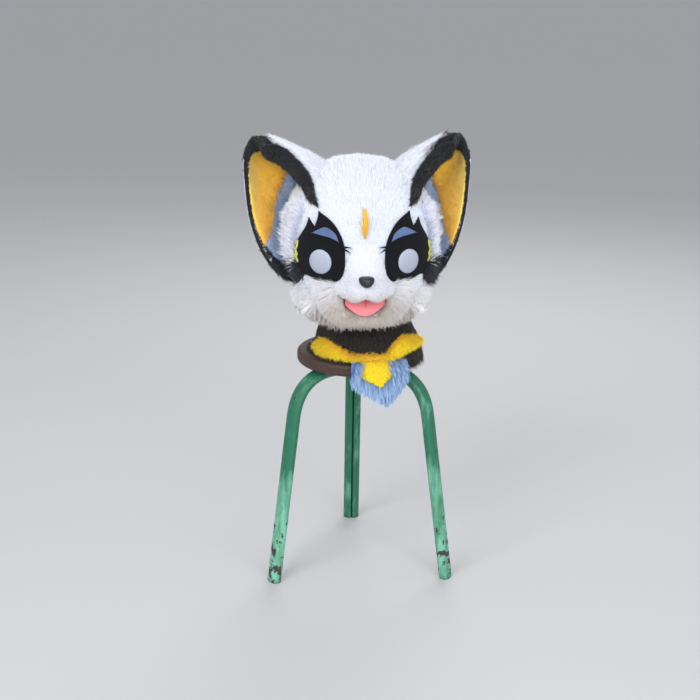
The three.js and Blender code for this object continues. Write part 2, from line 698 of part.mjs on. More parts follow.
// The black rim follows the ear's free border.
function earRim(grow = 0) {
  const way = [];
  const { alongEdges, roundTip } = RIM_STOPS;
  const onEdge = (round) => (along) => way.push(sunkEarPoint(along, round, earWall(along) / 2));
  alongEdges.forEach(onEdge(0));
  roundTip.forEach((round) => way.push(sunkEarPoint(EAR_TIP_END, round, EAR_WALL.tip / 2)));
  alongEdges.toReversed().forEach(onEdge(1));
  const curve = new THREE.CatmullRomCurve3(way, false, "centripetal");
  const { steps, sides } = RIM_MESH;
  const hollow = sunkEarPoint(0.5, 0.6, 60);
  const rings = Array.from({ length: steps + 1 }, (_, j) => {
    const share = j / steps;
    const { across, deep } = rowAt(RIM_WIDTHS, share);
    const along = curve.getTangentAt(share);
    const ending = (share === 1) - (share === 0);
    const centre = curve.getPointAt(share).addScaledVector(along, grow * ending);
    const inward = hollow.clone().sub(centre);
    const aside = inward.addScaledVector(along, -inward.dot(along)).normalize();
    const forward = along.clone().cross(aside);
    return Array.from({ length: sides }, (_, i) => {
      const turn = (2 * Math.PI * i) / sides;
      return centre
        .clone()
        .addScaledVector(aside, (across + grow) * Math.cos(turn))
        .addScaledVector(forward, (deep + grow) * Math.sin(turn));
    });
  });
  return loft(rings);
}

const bandBorder = (along) => BAND_BORDER.base - BAND_BORDER.taper * along;
function liningBorder(along) {
  const { base, taper, wave, waves } = LINING_BORDER;
  return base - taper * along + wave * Math.sin(2 * Math.PI * waves * along);
}

// The bare ear wall, and the same wall grown for cutting its neighbours.
const earBlock = (grow) =>
  earLayer(8, 5, [0, EAR_TIP_END], () => [0, 1], [() => -grow, (along) => earWall(along) + grow], grow);

function earPieces() {
  const rimCutter = earRim(GAP);
  const wallCutter = earBlock(GAP);
  const depths = [(along) => earWall(along) + SUNK, (along) => earWall(along) + GAP + LINING.pile];
  const lined = (columns, { from, to }, roundRange) =>
    seated(earLayer(columns, 5, [from, to], roundRange, depths), rimCutter, wallCutter);
  return {
    shell: seated(earBlock(0), rimCutter),
    rim: seated(earRim()),
    lining: lined(6, LINING, (along) => [liningBorder(along) + 0.015, 0.97]),
    band: lined(3, EAR_BAND, (along) => [bandBorder(along), liningBorder(along) - 0.01]),
  };
}

// White fluff in the mouth of the ear: a pad on the head with locks that stand out sideways.
function earFluff() {
  const { count, roots, turns, aside, back, fan } = FLUFF_LOCKS;
  const root = (share) => arcPoint(turns, share, THREE.MathUtils.lerp(...roots, share), 5);
  const tip = (share) =>
    root(share).add(new THREE.Vector3(aside, back, THREE.MathUtils.lerp(...fan, share)));
  return lockRow(count, root, tip, new THREE.Vector3(4, -3, 0), LOCK_ROOT, headPad(FLUFF_PAD, 4, 3));
}

// Neck, collar and bib

function neckRings(height, levels = NECK_MESH.levels) {
  return levels.map((share) =>
    Array.from({ length: NECK_MESH.sides }, (_, i) => {
      const turn = (2 * Math.PI * i) / NECK_MESH.sides;
      const fold = NECK_FOLDS.depth * (1 - share) * Math.sin(NECK_FOLDS.count * turn);
      const point = neckPoint(share, turn, height + fold);
      return point.setZ(rowAt(NECK_SECTIONS, share).z);
    }),
  );
}

// The neck filled in, used to seat what lies on it.
const neckBlock = (grow) => loft(neckRings(grow));

function neckWall() {
  const inside = neckRings(-NECK_WALL, NECK_MESH.levels.toReversed());
  return loft([...neckRings(0), ...inside], true);
}

// The collar's face, in the neck's own frame.
function collarPoint(across, along, height) {
  const { middle, half } = rowAt(COLLAR_ROWS, Math.abs(across));
  const turn = THREE.MathUtils.degToRad(COLLAR.reach * across + COLLAR.turn);
  const z = Math.max(middle + half * (2 * along - 1), COLLAR.lowest);
  return neckPoint(shareAt(NECK_SECTIONS, z), turn, height).setZ(z);
}

const COLLAR_LIFT = NECK_FOLDS.depth + GAP;

function collarBand() {
  const round = (along) => COLLAR.pile * (0.55 + 0.45 * Math.sin(Math.PI * along));
  return sheet(
    20,
    2,
    (across, along) => collarPoint(across, along, COLLAR_LIFT + round(along)),
    (across, along) => collarPoint(across, along, COLLAR_LIFT),
  );
}

// The bib hangs from the collar before the seat's edge, in the stool's frame.
function bibPoint(across, height, out) {
  const turn = THREE.MathUtils.degToRad(BIB.arc * across + BIB.turn);
  const reach = SEAT_RADIUS + BIB.stand + out;
  return new THREE.Vector3(reach * Math.sin(turn), -reach * Math.cos(turn), height);
}

// The height of the bib's ragged lower edge.
function bibHem(across) {
  const { tip, left, right, tipAt, teeth, tooth } = BIB_HEM;
  const onLeft = across < tipAt;
  const share = (across - tipAt) / ((onLeft ? -1 : 1) - tipAt);
  const ragged = Math.abs(((across * teeth) % 1) - 0.5) * tooth;
  return THREE.MathUtils.lerp(tip, onLeft ? left : right, share) + ragged;
}

function bibFlap() {
  const place = (out) => (across, along) =>
    bibPoint(across, THREE.MathUtils.lerp(bibHem(across), BIB.top, along), out(across, along));
  const pile = (across, along) => BIB.pile * (1 - 0.6 * across ** 4) * Math.sqrt(0.12 + along);
  return sheet(18, 3, place(pile), place(() => 0));
}

function bibShield() {
  const half = (along) => SHIELD.halfWidth * Math.sqrt(along);
  const place = (out) => (across, along) => {
    const z = THREE.MathUtils.lerp(SHIELD.low, SHIELD.top, along);
    const turn = (across * half(along)) / SEAT_RADIUS / THREE.MathUtils.degToRad(BIB.arc);
    return bibPoint(turn, z, out);
  };
  const lift = BIB.pile * 1.06 + GAP;
  return sheet(4, 4, place(lift + SHIELD.pile), place(lift));
}

// Stool

function seatBoard() {
  const [low, round] = [SEAT_TOP - SEAT_THICKNESS, SEAT_EDGE_ROUND];
  const edge = (centre, from) =>
    [0, 0.5, 1].map((share) => {
      const turn = THREE.MathUtils.degToRad(from + 90 * share);
      const middle = SEAT_RADIUS - round;
      return new THREE.Vector2(middle + round * Math.cos(turn), centre + round * Math.sin(turn));
    });
  const profile = [
    new THREE.Vector2(0, low),
    ...edge(low + round, -90),
    ...edge(SEAT_TOP - round, 0),
    new THREE.Vector2(0, SEAT_TOP),
  ];
  return solidOfGeometry(new THREE.LatheGeometry(profile, 30).rotateX(Math.PI / 2));
}

// A leg of folded tube: up from the floor, over a bend, in under the seat, its open seam facing in.
function stoolLeg() {
  const { halfWidth, halfDepth, seamHalf, seamDepth, sides } = LEG_SECTION;
  const level = SEAT_TOP - SEAT_THICKNESS - GAP - halfDepth;
  const slope = (LEG.footRadius - LEG.kneeRadius) / LEG.kneeHeight;
  const corner = LEG.footRadius - slope * level;
  const at = (radius, z) => new THREE.Vector3(0, radius, z);
  const [foot, knee] = [at(LEG.footRadius, 0), at(LEG.kneeRadius, LEG.kneeHeight)];
  const [bench, end] = [at(LEG.benchRadius, level), at(LEG.endRadius, level)];
  const way = new THREE.CurvePath();
  way.add(new THREE.LineCurve3(foot, knee));
  way.add(new THREE.QuadraticBezierCurve3(knee, at(corner, level), bench));
  way.add(new THREE.LineCurve3(bench, end));
  const bend = Array.from({ length: LEG_BEND.steps + 1 }, (_, i) =>
    THREE.MathUtils.lerp(LEG_BEND.start, LEG_BEND.end, i / LEG_BEND.steps),
  );
  const rings = [0, 0.35, ...bend, 1].map((share) => {
    const point = way.getPointAt(share);
    const along = share === 0 ? new THREE.Vector3(0, 0, 1) : way.getTangentAt(share);
    const outward = new THREE.Vector3(0, along.z, -along.y);
    const put = (x, out) => point.clone().addScaledVector(outward, out).add(new THREE.Vector3(x, 0, 0));
    const tube = Array.from({ length: sides - 1 }, (_, i) => {
      const turn = (2 * Math.PI * (i + 1)) / sides;
      return put(halfWidth * Math.sin(turn), -halfDepth * Math.cos(turn));
    });
    const seam = [put(-seamHalf, -halfDepth), put(0, seamDepth - halfDepth), put(seamHalf, -halfDepth)];
    return [...tube, ...seam];
  });
  return loft(rings);
}

// Assembly

const ears = earPieces();
const earRoot = [earBlock(LINING.pile + MARK), earRim(GAP)];
const templeCutter = templePatch(GAP);

const head = new THREE.Group();
head.position.set(0, 0, HEAD_BASE);
head.add(
  meshOf("head_shell", headShell(), WHITE_FUR),
  meshOf("muzzle", seated(muzzleBlock(), mouthBlock(GAP)), SHORT_PILE),
  meshOf("lower_jaw", seated(jawBlock(), mouthBlock(GAP), muzzleBlock(GAP)), SHORT_PILE),
  meshOf("mouth_floor", seated(mouthBlock()), MOUTH_FLEECE),
  meshOf("tongue", tongueBlock(), PINK_FLEECE),
  meshOf("nose", noseBlock(), NOSE_VINYL),
  meshOf("forehead_blaze", blaze(), YELLOW_FUR),
  meshOf("chin_ruff", chinRuff(), WHITE_FUR),
  ...bothSides("eye_panel", eyePanel(), BLACK_FELT),
  ...bothSides("eye_disc", eyeDisc(), SIGHT_MESH),
  ...bothSides("lid_mark", lidMark(), BLUE_FELT),
  ...bothSides("eye_edge", eyeEdge(), LIME_FELT),
  ...bothSides("lashes", lashes(), BLACK_FELT),
  ...bothSides("temple_fur", seated(templePatch(), ...earRoot), BLACK_FUR),
  ...bothSides("cheek_tuft", seated(cheekTuft(), ...earRoot, templeCutter), WHITE_FUR),
  ...bothSides("ear_shell", ears.shell, WHITE_FUR),
  ...bothSides("ear_rim", ears.rim, BLACK_FUR),
  ...bothSides("ear_lining", ears.lining, YELLOW_FUR),
  ...bothSides("ear_band", ears.band, BLUE_FUR),
  ...bothSides("ear_fluff", seated(earFluff(), ...earRoot, templeCutter, panelBlock), WHITE_FUR),
);

const neck = new THREE.Group();
neck.position.set(0, 0, SEAT_TOP);
neck.add(meshOf("neck", neckWall(), BLACK_FUR), meshOf("collar", collarBand(), YELLOW_FUR));

const stool = new THREE.Group();
stool.add(meshOf("stool_seat", seatBoard(), BROWN_BOARD));
for (const [name, degrees] of Object.entries(LEG_TURNS)) {
  const leg = meshOf(`stool_leg_${name}`, stoolLeg(), GREEN_PAINT);
  leg.rotation.z = THREE.MathUtils.degToRad(degrees);
  stool.add(leg);
}
stool.add(meshOf("bib", bibFlap(), BLUE_FUR), meshOf("bib_shield", bibShield(), YELLOW_FUR));

const costumeHead = new THREE.Group();
costumeHead.position.y = MIDDLE_SHIFT;
costumeHead.add(stool, neck, head);

export default costumeHead;
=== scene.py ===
# A furred cat costume head on a green three-legged stool, dressed over its CAD solids.
import math
import bpy
import numpy as np
from mathutils import Matrix


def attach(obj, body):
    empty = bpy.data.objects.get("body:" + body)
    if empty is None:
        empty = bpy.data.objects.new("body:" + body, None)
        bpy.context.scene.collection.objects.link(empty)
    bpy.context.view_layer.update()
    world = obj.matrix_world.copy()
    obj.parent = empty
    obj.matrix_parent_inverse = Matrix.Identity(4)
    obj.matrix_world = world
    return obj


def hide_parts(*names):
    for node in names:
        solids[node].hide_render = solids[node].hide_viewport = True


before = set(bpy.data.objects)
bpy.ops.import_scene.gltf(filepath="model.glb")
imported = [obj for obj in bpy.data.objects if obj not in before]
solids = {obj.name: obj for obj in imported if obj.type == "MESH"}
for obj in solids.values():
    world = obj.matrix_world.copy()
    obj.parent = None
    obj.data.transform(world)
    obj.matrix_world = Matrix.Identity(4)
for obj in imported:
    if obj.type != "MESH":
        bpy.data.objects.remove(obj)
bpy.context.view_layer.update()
mm = 0.001  # shapes are worked out in millimetres
print("frame loaded:", len(solids), "solids")


# Colours and nodes

def linear(hexColour):
    # sRGB to linear light, by the two branches of the sRGB curve
    value = np.array([int(hexColour[i:i + 2], 16) for i in (1, 3, 5)]) / 255
    light = np.where(value <= 0.04045, value / 12.92, ((value + 0.055) / 1.055) ** 2.4)
    return (*light.tolist(), 1.0)


def addNode(tree, kind, settings, inputs):
    # one node: its settings, then each input as a fixed value or as a link
    node = tree.nodes.new(kind)
    for name, value in settings.items():
        setattr(node, name, value)
    for name, value in inputs.items():
        if isinstance(value, bpy.types.NodeSocket):
            tree.links.new(value, node.inputs[name])
        else:
            node.inputs[name].default_value = value
    return node


def newMaterial(name, roughness, specular, sheen=0.0, sheenRoughness=0.5):
    material = bpy.data.materials.new(name)
    material.use_nodes = True
    shader = material.node_tree.nodes["Principled BSDF"]
    values = {"Roughness": roughness, "Specular IOR Level": specular, "Sheen Weight": sheen,
              "Sheen Roughness": sheenRoughness}
    for socket, value in values.items():
        shader.inputs[socket].default_value = value
    return material, material.node_tree, shader


def objectPlace(tree):
    return addNode(tree, "ShaderNodeTexCoord", {}, {}).outputs["Object"]


def axesOf(tree, place):
    return addNode(tree, "ShaderNodeSeparateXYZ", {}, {0: place}).outputs


def attribute(tree, name):
    return addNode(tree, "ShaderNodeAttribute", {"attribute_name": name}, {}).outputs["Fac"]


def noise(tree, place, size, detail, roughness=0.5, stretch=None):
    # spots about size millimetres apart, drawn out along an axis whose stretch is below 1
    if stretch:
        place = addNode(tree, "ShaderNodeMapping", {}, {"Vector": place, "Scale": stretch}).outputs[0]
    return addNode(tree, "ShaderNodeTexNoise", {}, {
        "Vector": place, "Scale": 1 / (size * mm), "Detail": detail, "Roughness": roughness}).outputs["Fac"]


def summed(tree, first, second):
    return addNode(tree, "ShaderNodeMath", {"operation": "ADD"}, {0: first, 1: second}).outputs[0]


def mapped(tree, value, span, result=(0.0, 1.0), kind="LINEAR"):
    return addNode(tree, "ShaderNodeMapRange", {"interpolation_type": kind}, {
        "Value": value, "From Min": span[0], "From Max": span[1], "To Min": result[0], "To Max": result[1]}).outputs[0]


def mixed(tree, share, first, second):
    # from one colour to another, each a hex or a link
    first, second = (linear(end) if isinstance(end, str) else end for end in (first, second))
    return addNode(tree, "ShaderNodeMix", {"data_type": "RGBA"}, {0: share, 6: first, 7: second}).outputs[2]


def toned(tree, colour, value):
    return addNode(tree, "ShaderNodeHueSaturation", {}, {"Color": colour, "Value": value}).outputs["Color"]


def bump(tree, height, strength, deep, invert=False):
    return addNode(tree, "ShaderNodeBump", {"invert": invert}, {
        "Height": height, "Strength": strength, "Distance": deep * mm}).outputs[0]


def link(tree, shader, sockets):
    for name, socket in sockets.items():
        tree.links.new(socket, shader.inputs[name])


def furMaterial(name, root, tip, mark, uneven, lock, roughness=0.9, sheen=0.2):
    # faux fur: fibres dark at the root and pale at the tip, uneven from strand to strand and lock to lock
    material, tree, shader = newMaterial(name, roughness, specular=0.25, sheen=sheen)
    fibre = mixed(tree, attribute(tree, "along"), root, tip)
    # the mark colour: real markings on some furs, painted shade low on the white face furs
    marked = mixed(tree, attribute(tree, "mark"), fibre, mark)
    patches = summed(tree, attribute(tree, "strand"), noise(tree, objectPlace(tree), lock, detail=3.0))
    tone = mapped(tree, patches, (0.4, 1.6), (1 - uneven, 1 + uneven))
    link(tree, shader, {"Base Color": toned(tree, marked, tone)})
    return material


def feltMaterial(name, low, high, fibre, cloud, sheen=0.2):
    # pressed felt: matt, with a faint mottle of fibres about a millimetre long and a soft sheen at the edges
    material, tree, shader = newMaterial(name, roughness=0.92, specular=0.2, sheen=sheen)
    place = objectPlace(tree)
    fibres = noise(tree, place, fibre, detail=4.0)
    share = mapped(tree, summed(tree, fibres, noise(tree, place, cloud, detail=1.0)), (0.6, 1.4))
    link(tree, shader, {"Base Color": mixed(tree, share, low, high),
                        "Normal": bump(tree, fibres, strength=0.4, deep=0.4)})
    return material


# Surfaces

def unit(vectors):
    return vectors / np.maximum(np.linalg.norm(vectors, axis=-1, keepdims=True), 1e-9)


def between(p0, p1, p2, p3, t):
    # a Catmull-Rom curve from p1 to p2
    return p1 + 0.5 * t * (p2 - p0 + t * (2 * p0 - 5 * p1 + 4 * p2 - p3 + t * (3 * (p1 - p2) + p3 - p0)))


def alongRows(rows, share):
    # the curve through the rows of a table, at shares from 0 to 1
    rows = np.asarray(rows, float)
    place = np.clip(share, 0, 1) * (len(rows) - 1)
    start = np.minimum(place.astype(int), len(rows) - 2)
    near = (rows[np.clip(start + k, 0, len(rows) - 1)] for k in (-1, 0, 1, 2))
    return between(*near, (place - start)[..., None])


def closedCurve(corners, each):
    # the same curve closed on itself, with a number of points for each corner; a corner given twice is sharp
    near = (np.roll(np.asarray(corners, float), -k, axis=0)[:, None] for k in (-1, 0, 1, 2))
    return between(*near, (np.arange(each) / each)[:, None]).reshape(-1, 2)


def turnedOut(points, triangles):
    # a closed surface whose signed volume is below zero has its triangles turned over
    a, b, c = (points[triangles[:, k]] for k in range(3))
    volume = np.einsum("ij,ij->i", a, np.cross(b, c)).sum()
    return points, triangles if volume > 0 else triangles[:, ::-1]


def ringSurface(rings):
    # rings of equal length joined in order, both ends closed on their middle
    count, around = rings.shape[:2]
    ends = rings[[0, -1]].mean(1)
    points = np.concatenate([rings.reshape(-1, 3), ends])
    j, i = np.meshgrid(np.arange(count - 1), np.arange(around), indexing="ij")
    a, b = j * around + i, j * around + (i + 1) % around
    sides = np.stack([a, b, b + around, a, b + around, a + around], -1).reshape(-1, 3)
    i = np.arange(around)
    last = (count - 1) * around
    start = np.stack([np.full(around, count * around), (i + 1) % around, i], -1)
    end = np.stack([np.full(around, count * around + 1), last + i, last + (i + 1) % around], -1)
    return turnedOut(points, np.concatenate([sides, start, end]))


def sheetSurface(front, back):
    # two grids of one size, one behind the other, joined round their border
    rows, columns = front.shape[:2]
    half = rows * columns
    index = np.arange(half).reshape(rows, columns)
    a, b, c, d = index[:-1, :-1], index[:-1, 1:], index[1:, 1:], index[1:, :-1]
    face = np.stack([a, b, c, a, c, d], -1).reshape(-1, 3)
    border = np.concatenate([index[0, :-1], index[:-1, -1], index[-1, :0:-1], index[:0:-1, 0]])
    after = np.roll(border, -1)
    rim = np.stack([border, half + border, half + after, border, half + after, after], -1).reshape(-1, 3)
    points = np.concatenate([front.reshape(-1, 3), back.reshape(-1, 3)])
    return turnedOut(points, np.concatenate([face, half + face[:, ::-1], rim]))


def mirrored(surface, side):
    # the same surface on the other side of the head
    points, triangles = surface
    return (points, triangles) if side > 0 else (points * [-1, 1, 1], triangles[:, ::-1])


def joined(first, second):
    return np.concatenate([first[0], second[0]]), np.concatenate([first[1], second[1] + len(first[0])])


def solidSurface(name):
    # a solid's triangles in millimetres, with the corners that lie together merged
    mesh = solids[name].data
    mesh.calc_loop_triangles()
    points = np.empty(len(mesh.vertices) * 3, np.float32)
    triangles = np.empty(len(mesh.loop_triangles) * 3, np.int32)
    mesh.vertices.foreach_get("co", points)
    mesh.loop_triangles.foreach_get("vertices", triangles)
    places = np.round(points.reshape(-1, 3).astype(float) / mm, 3)
    merged, inverse = np.unique(places, axis=0, return_inverse=True)
    return merged, inverse.reshape(-1)[triangles].reshape(-1, 3)


def makePiece(name, surface, material, slot, replaced, **fields):
    # puts points, triangles and the values of each field on the points into a mesh that rides on the frame
    points, triangles = surface
    mesh = bpy.data.meshes.new(name)
    mesh.vertices.add(len(points))
    mesh.vertices.foreach_set("co", (points * mm).astype(np.float32).ravel())
    mesh.loops.add(triangles.size)
    mesh.loops.foreach_set("vertex_index", triangles.astype(np.int32).ravel())
    mesh.polygons.add(len(triangles))
    mesh.polygons.foreach_set("loop_start", np.arange(0, triangles.size, 3, dtype=np.int32))
    mesh.polygons.foreach_set("use_smooth", np.ones(len(triangles), bool))
    for field, values in fields.items():
        mesh.attributes.new(field, "FLOAT", "POINT").data.foreach_set("value", values.astype(np.float32))
    mesh.update(calc_edges=True)
    mesh.materials.append(material)
    piece = bpy.data.objects.new(name, mesh)
    bpy.context.scene.collection.objects.link(piece)
    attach(piece, "root")
    if replaced:
        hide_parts(*replaced)
    return piece


# Fur

def cornerNormals(points, triangles, passes):
    # each corner's normal is the sum of its faces', then evened out with its neighbours'
    a, b, c = (points[triangles[:, k]] for k in range(3))
    values = np.cross(b - a, c - a)
    for _ in range(passes + 1):
        normals = np.zeros_like(points)
        np.add.at(normals, triangles.ravel(), np.repeat(values, 3, axis=0))
        normals = unit(normals)
        values = normals[triangles].sum(1)
    return normals


def scatterRoots(surface, look, keep, rng):
    # roots spread by area over the triangles, thinned by keep, which gives each place a chance, or says yes or no
    points, triangles = surface
    a, b, c = (points[triangles[:, k]] for k in range(3))
    area = np.linalg.norm(np.cross(b - a, c - a), axis=1) / 2
    count = int(area.sum() / 100 * look["density"])  # density is blades per square centimetre
    picked = triangles[rng.choice(len(triangles), count, p=area / area.sum())]
    u, v = rng.random((2, count))
    over = u + v > 1
    u[over], v[over] = 1 - u[over], 1 - v[over]
    weights = np.stack([1 - u - v, u, v], -1)[..., None]
    roots = (points[picked] * weights).sum(1)
    normals = unit((cornerNormals(points, triangles, look["soften"])[picked] * weights).sum(1))
    kept = rng.random(count) < keep(roots, normals)
    return roots[kept], normals[kept]


def lockCentres(roots, size):
    # neighbouring roots share a lock: cells of a grid bent by two waves, each numbered
    waves = [([1, 2, 0], 2.1, 0.45), ([2, 0, 1], 0.83, 0.6)]  # axes, pace and swing
    wave = sum(np.sin(roots[:, axes] * pace / size) * swing for axes, pace, swing in waves)
    cells = np.floor(roots / size + wave).astype(int)
    return np.unique(cells, axis=0, return_inverse=True)[1].reshape(-1)


def lockMean(values, lock):
    counts = np.bincount(lock)[:, None]
    sums = np.stack([np.bincount(lock, weights=values[:, k]) for k in range(3)], -1)
    return (sums / counts)[lock]


def furBlades(roots, normals, comb, scale, mark, look, rng):
    # a blade runs along root + length * (t * start + t^2 * bend), tapers to its tip and turns its flat side out;
    # tips are drawn together lock by lock
    count, stations = len(roots), look["stations"]
    length = look["length"] * scale * (1 + look["spread"] * rng.uniform(-1, 1, count))
    combed = comb(roots, normals)
    combed = unit(combed - (combed * normals).sum(1, keepdims=True) * normals)
    leaning = normals * (1 - look["lean"]) + combed * look["lean"]
    start = unit(leaning + rng.normal(0, look["stray"], (count, 3)))
    bend = combed * look["bend"] - np.array([0, 0, look["droop"]])
    base = roots - normals * (look["sink"] * np.minimum(scale, 1))[:, None]
    lock = lockCentres(roots, look["lock"])
    reach = length[:, None] * (start + bend)
    gather = look["gather"] * (lockMean(base + reach, lock) - base - reach)
    t = (np.arange(stations + 1) / stations)[None, :, None]
    spine = base[:, None] + length[:, None, None] * (t * start[:, None] + t ** 2 * bend[:, None])
    spine = spine + t ** 2 * gather[:, None]
    turn = rng.normal(0, look["twist"], (count, 1))
    flat = unit(np.cross(start + 0.5 * bend, normals))
    side = unit(flat * np.cos(turn) + normals * np.sin(turn))
    narrowest, more = 0.7, 0.6  # blades' shares of the width
    width = look["width"] * (narrowest + more * rng.random((count, 1, 1))) * (1 - t[:, :-1] ** 2) / 2
    left, right = spine[:, :-1] - side[:, None] * width, spine[:, :-1] + side[:, None] * width
    strip = np.stack([left, right], 2).reshape(count, stations * 2, 3)
    points = np.concatenate([strip, spine[:, -1:]], 1)
    s = np.arange(stations - 1)[:, None] * 2
    ladder = np.concatenate([s + [0, 1, 3], s + [0, 3, 2]])
    pattern = np.concatenate([ladder, [[stations * 2 - 2, stations * 2 - 1, stations * 2]]])
    each = stations * 2 + 1
    triangles = (np.arange(count)[:, None, None] * each + pattern).reshape(-1, 3)
    climb = np.append(np.repeat(np.arange(stations) / stations, 2), 1.0)
    fields = {
        "along": np.tile(climb, count),
        "strand": np.repeat(rng.random(count), each),
        "mark": np.repeat(mark, each),
    }
    return points.reshape(-1, 3), triangles, fields


def always(value):
    return lambda roots, normals=None: np.full(len(roots), value)


def steady(*way):
    # a comb that runs one way all over
    return lambda roots, normals: np.tile(way, (len(roots), 1))


everywhere = allOne = always(1.0)
noMark = always(0.0)
downwards = steady(0.0, 0.0, -1.0)


def furPiece(name, surface, look, material, slot, replaced, comb, keep=everywhere, scale=allOne, mark=noMark,
             seed=1, skin=True, side=1, shape=None):
    # the fabric backing with its blades, in one mesh; worked out for the wearer's left, then mirrored if need be
    rng = np.random.default_rng(seed)
    roots, normals = scatterRoots(surface, look, keep, rng)
    points, triangles, fields = furBlades(roots, normals, comb, scale(roots), mark(roots), look, rng)
    if skin:
        backing = {"along": 0.0, "strand": 0.5}
        triangles = np.concatenate([surface[1], triangles + len(surface[0])])
        fields = {field: np.concatenate([np.full(len(surface[0]), backing.get(field, 0.0)), values])
                  for field, values in fields.items()}
        fields["mark"][:len(surface[0])] = mark(surface[0])
        points = np.concatenate([surface[0], points])
    points = shape(points) if shape else points
    piece = makePiece(name, mirrored((points, triangles), side), material, slot, replaced, **fields)
    print("fur:", name, len(roots), "blades")
    return piece


# Head form, as in the solids: level rows of height, half-width, front and back reach
headForm = {
    "base": 492.0,
    "middleY": -4.3,
    "square": 2.3,
    "rows": [
        [0, 98, 98, 104], [22, 110, 112, 116], [46, 119, 123, 125], [78, 127, 132, 133], [114, 133, 138, 138],
        [152, 134, 137, 139], [194, 127, 127, 131], [230, 109, 106, 112], [257, 83, 78, 85], [275, 49, 44, 49],
        [282, 0.1, 0.1, 0.1],
    ],
}
headOrigin = np.array([0, headForm["middleY"], headForm["base"]])
levelShares = np.linspace(0, 1, 800)
levelHeights = alongRows(headForm["rows"], levelShares)[:, 0]


def levelRow(z):
    return alongRows(headForm["rows"], np.interp(z, levelHeights, levelShares))


def bowed(share):
    # the superellipse's height over a share of its half-width
    return (1 - np.minimum(np.abs(share), 0.999) ** headForm["square"]) ** (1 / headForm["square"])


def faceDepth(x, z):
    # the front of the level superellipse at height z
    row = levelRow(z)
    return -row[..., 2] * bowed(x / row[..., 1])


def sideReach(y, z):
    row = levelRow(z)
    return row[..., 1] * bowed(y / np.where(y < 0, row[..., 2], row[..., 3]))


def raised(reach, sign, order, aside, z, height):
    # a point of the head lifted along the normal that its slopes give
    step = 0.5
    slope, slopeZ = ((reach(aside + a, z + b) - reach(aside - a, z - b)) / (2 * step)
                     for a, b in ((step, 0), (0, step)))
    normal = unit(sign * np.stack([np.ones_like(slope), -slope, -slopeZ], -1)[..., order])
    point = np.stack([reach(aside, z), aside, z], -1)[..., order]
    return point + normal * np.asarray(height)[..., None] + headOrigin


def facePoint(x, z, height):
    return raised(faceDepth, -1, [1, 0, 2], x, z, height)


def sidePoint(y, z, height):
    return raised(sideReach, 1, [0, 1, 2], y, z, height)


def plateSurface(outline, centre, profile):
    # the outline shrunk towards its centre ring by ring; profile rows are a share of the outline and a height
    profile = np.asarray(profile, float)
    flat = np.asarray(centre) + profile[:, :1, None] * (outline - np.asarray(centre))
    return ringSurface(facePoint(flat[..., 0], flat[..., 1], profile[:, 1:] * np.ones(flat.shape[:2])))


def insideOutline(flat, outline):
    # even-odd rule: how often a line to the right of each point meets the outline
    x, z = flat[:, 0], flat[:, 1]
    inside = np.zeros(len(flat), bool)
    for (x0, z0), (x1, z1) in zip(outline, np.roll(outline, -1, axis=0)):
        crosses = (z0 > z) != (z1 > z)
        inside ^= crosses & (x < (x1 - x0) * (z - z0) / (z1 - z0 + 1e-12) + x0)
    return inside


def smoothStep(value, low, high):
    t = np.clip((value - low) / (high - low), 0, 1)
    return t * t * (3 - 2 * t)


def fullTurn(count):
    return np.linspace(0, 2 * np.pi, count, endpoint=False)


def ellipse(centre, half):
    turns = fullTurn(64)
    return np.asarray(centre) + np.stack([np.sin(turns), np.cos(turns)], -1) * half


def rooted(value, power):
    return np.sign(value) * np.abs(value) ** (2 / power)


sides = {"left": 1, "right": -1}

# Eyes: flat felt panels, see-through discs and felt marks, drawn for the wearer's left
eyeLook = {
    "panel": [
        [33.5, 122], [34.5, 146], [39, 164], [49, 182], [61, 194], [75.5, 203], [75.5, 203], [79, 191], [83.5, 178],
        [83.5, 178], [88, 184], [93, 191], [93, 191], [98, 177], [109, 157], [117, 137], [119, 115], [116, 95],
        [112, 85], [112, 85], [104, 91], [96, 93], [86, 89], [72, 83], [56, 84], [43, 90], [36, 102],
    ],
    "centre": [77, 132],
    "disc": {"centre": [73.5, 121], "half": [18, 21.3]},
    "lid": [[44, 157], [44, 157], [48, 168], [57, 176], [66, 179], [76, 175], [87, 168],
            [87, 168], [75, 166], [59, 163]],
    "lidCentre": [65, 169],
    "edge": [[109, 151], [112, 149], [113, 141], [116, 136], [114, 129], [116, 122], [113, 116], [111, 112], [109, 115],
             [111, 121], [110, 128], [112, 134], [110, 141]],
    "edgeCentre": [112, 131],
    "panelProfile": [[0.02, 3.6], [0.3, 3.6], [0.6, 3.6], [0.85, 3.5], [0.95, 3.2], [0.99, 2.4], [1.0, 1.2],
                     [0.99, -1.0], [0.5, -2.0], [0.02, -2.0]],
    "markRise": 3.4, "markPile": 1.1, "clear": 1.02,
}
blackFelt = feltMaterial("blackFelt", low="#090a0e", high="#13141a", fibre=1.2, cloud=30, sheen=0.06)
blueFelt = feltMaterial("blueFelt", low="#485e88", high="#667ba6", fibre=1.2, cloud=12)
limeFelt = feltMaterial("limeFelt", low="#a8ad2e", high="#e2e26c", fibre=1.5, cloud=6)


def sightMeshMaterial():
    # printed sight mesh: pale vinyl, a little darker downwards, with a grid of fine holes drawn coarse to show
    material, tree, shader = newMaterial("paleSightMesh", roughness=0.55, specular=0.35)
    place = objectPlace(tree)
    holes = addNode(tree, "ShaderNodeTexVoronoi", {"distance": "MANHATTAN"}, {
        "Vector": place, "Scale": 1 / (1.4 * mm), "Randomness": 0.1}).outputs["Distance"]
    colour = mixed(tree, mapped(tree, axesOf(tree, place)["Z"], (0.588, 0.634)), "#9da4b9", "#b2b8c8")
    link(tree, shader, {"Base Color": toned(tree, colour, mapped(tree, holes, (0.15, 0.4), (0.9, 1.0)))})
    return material


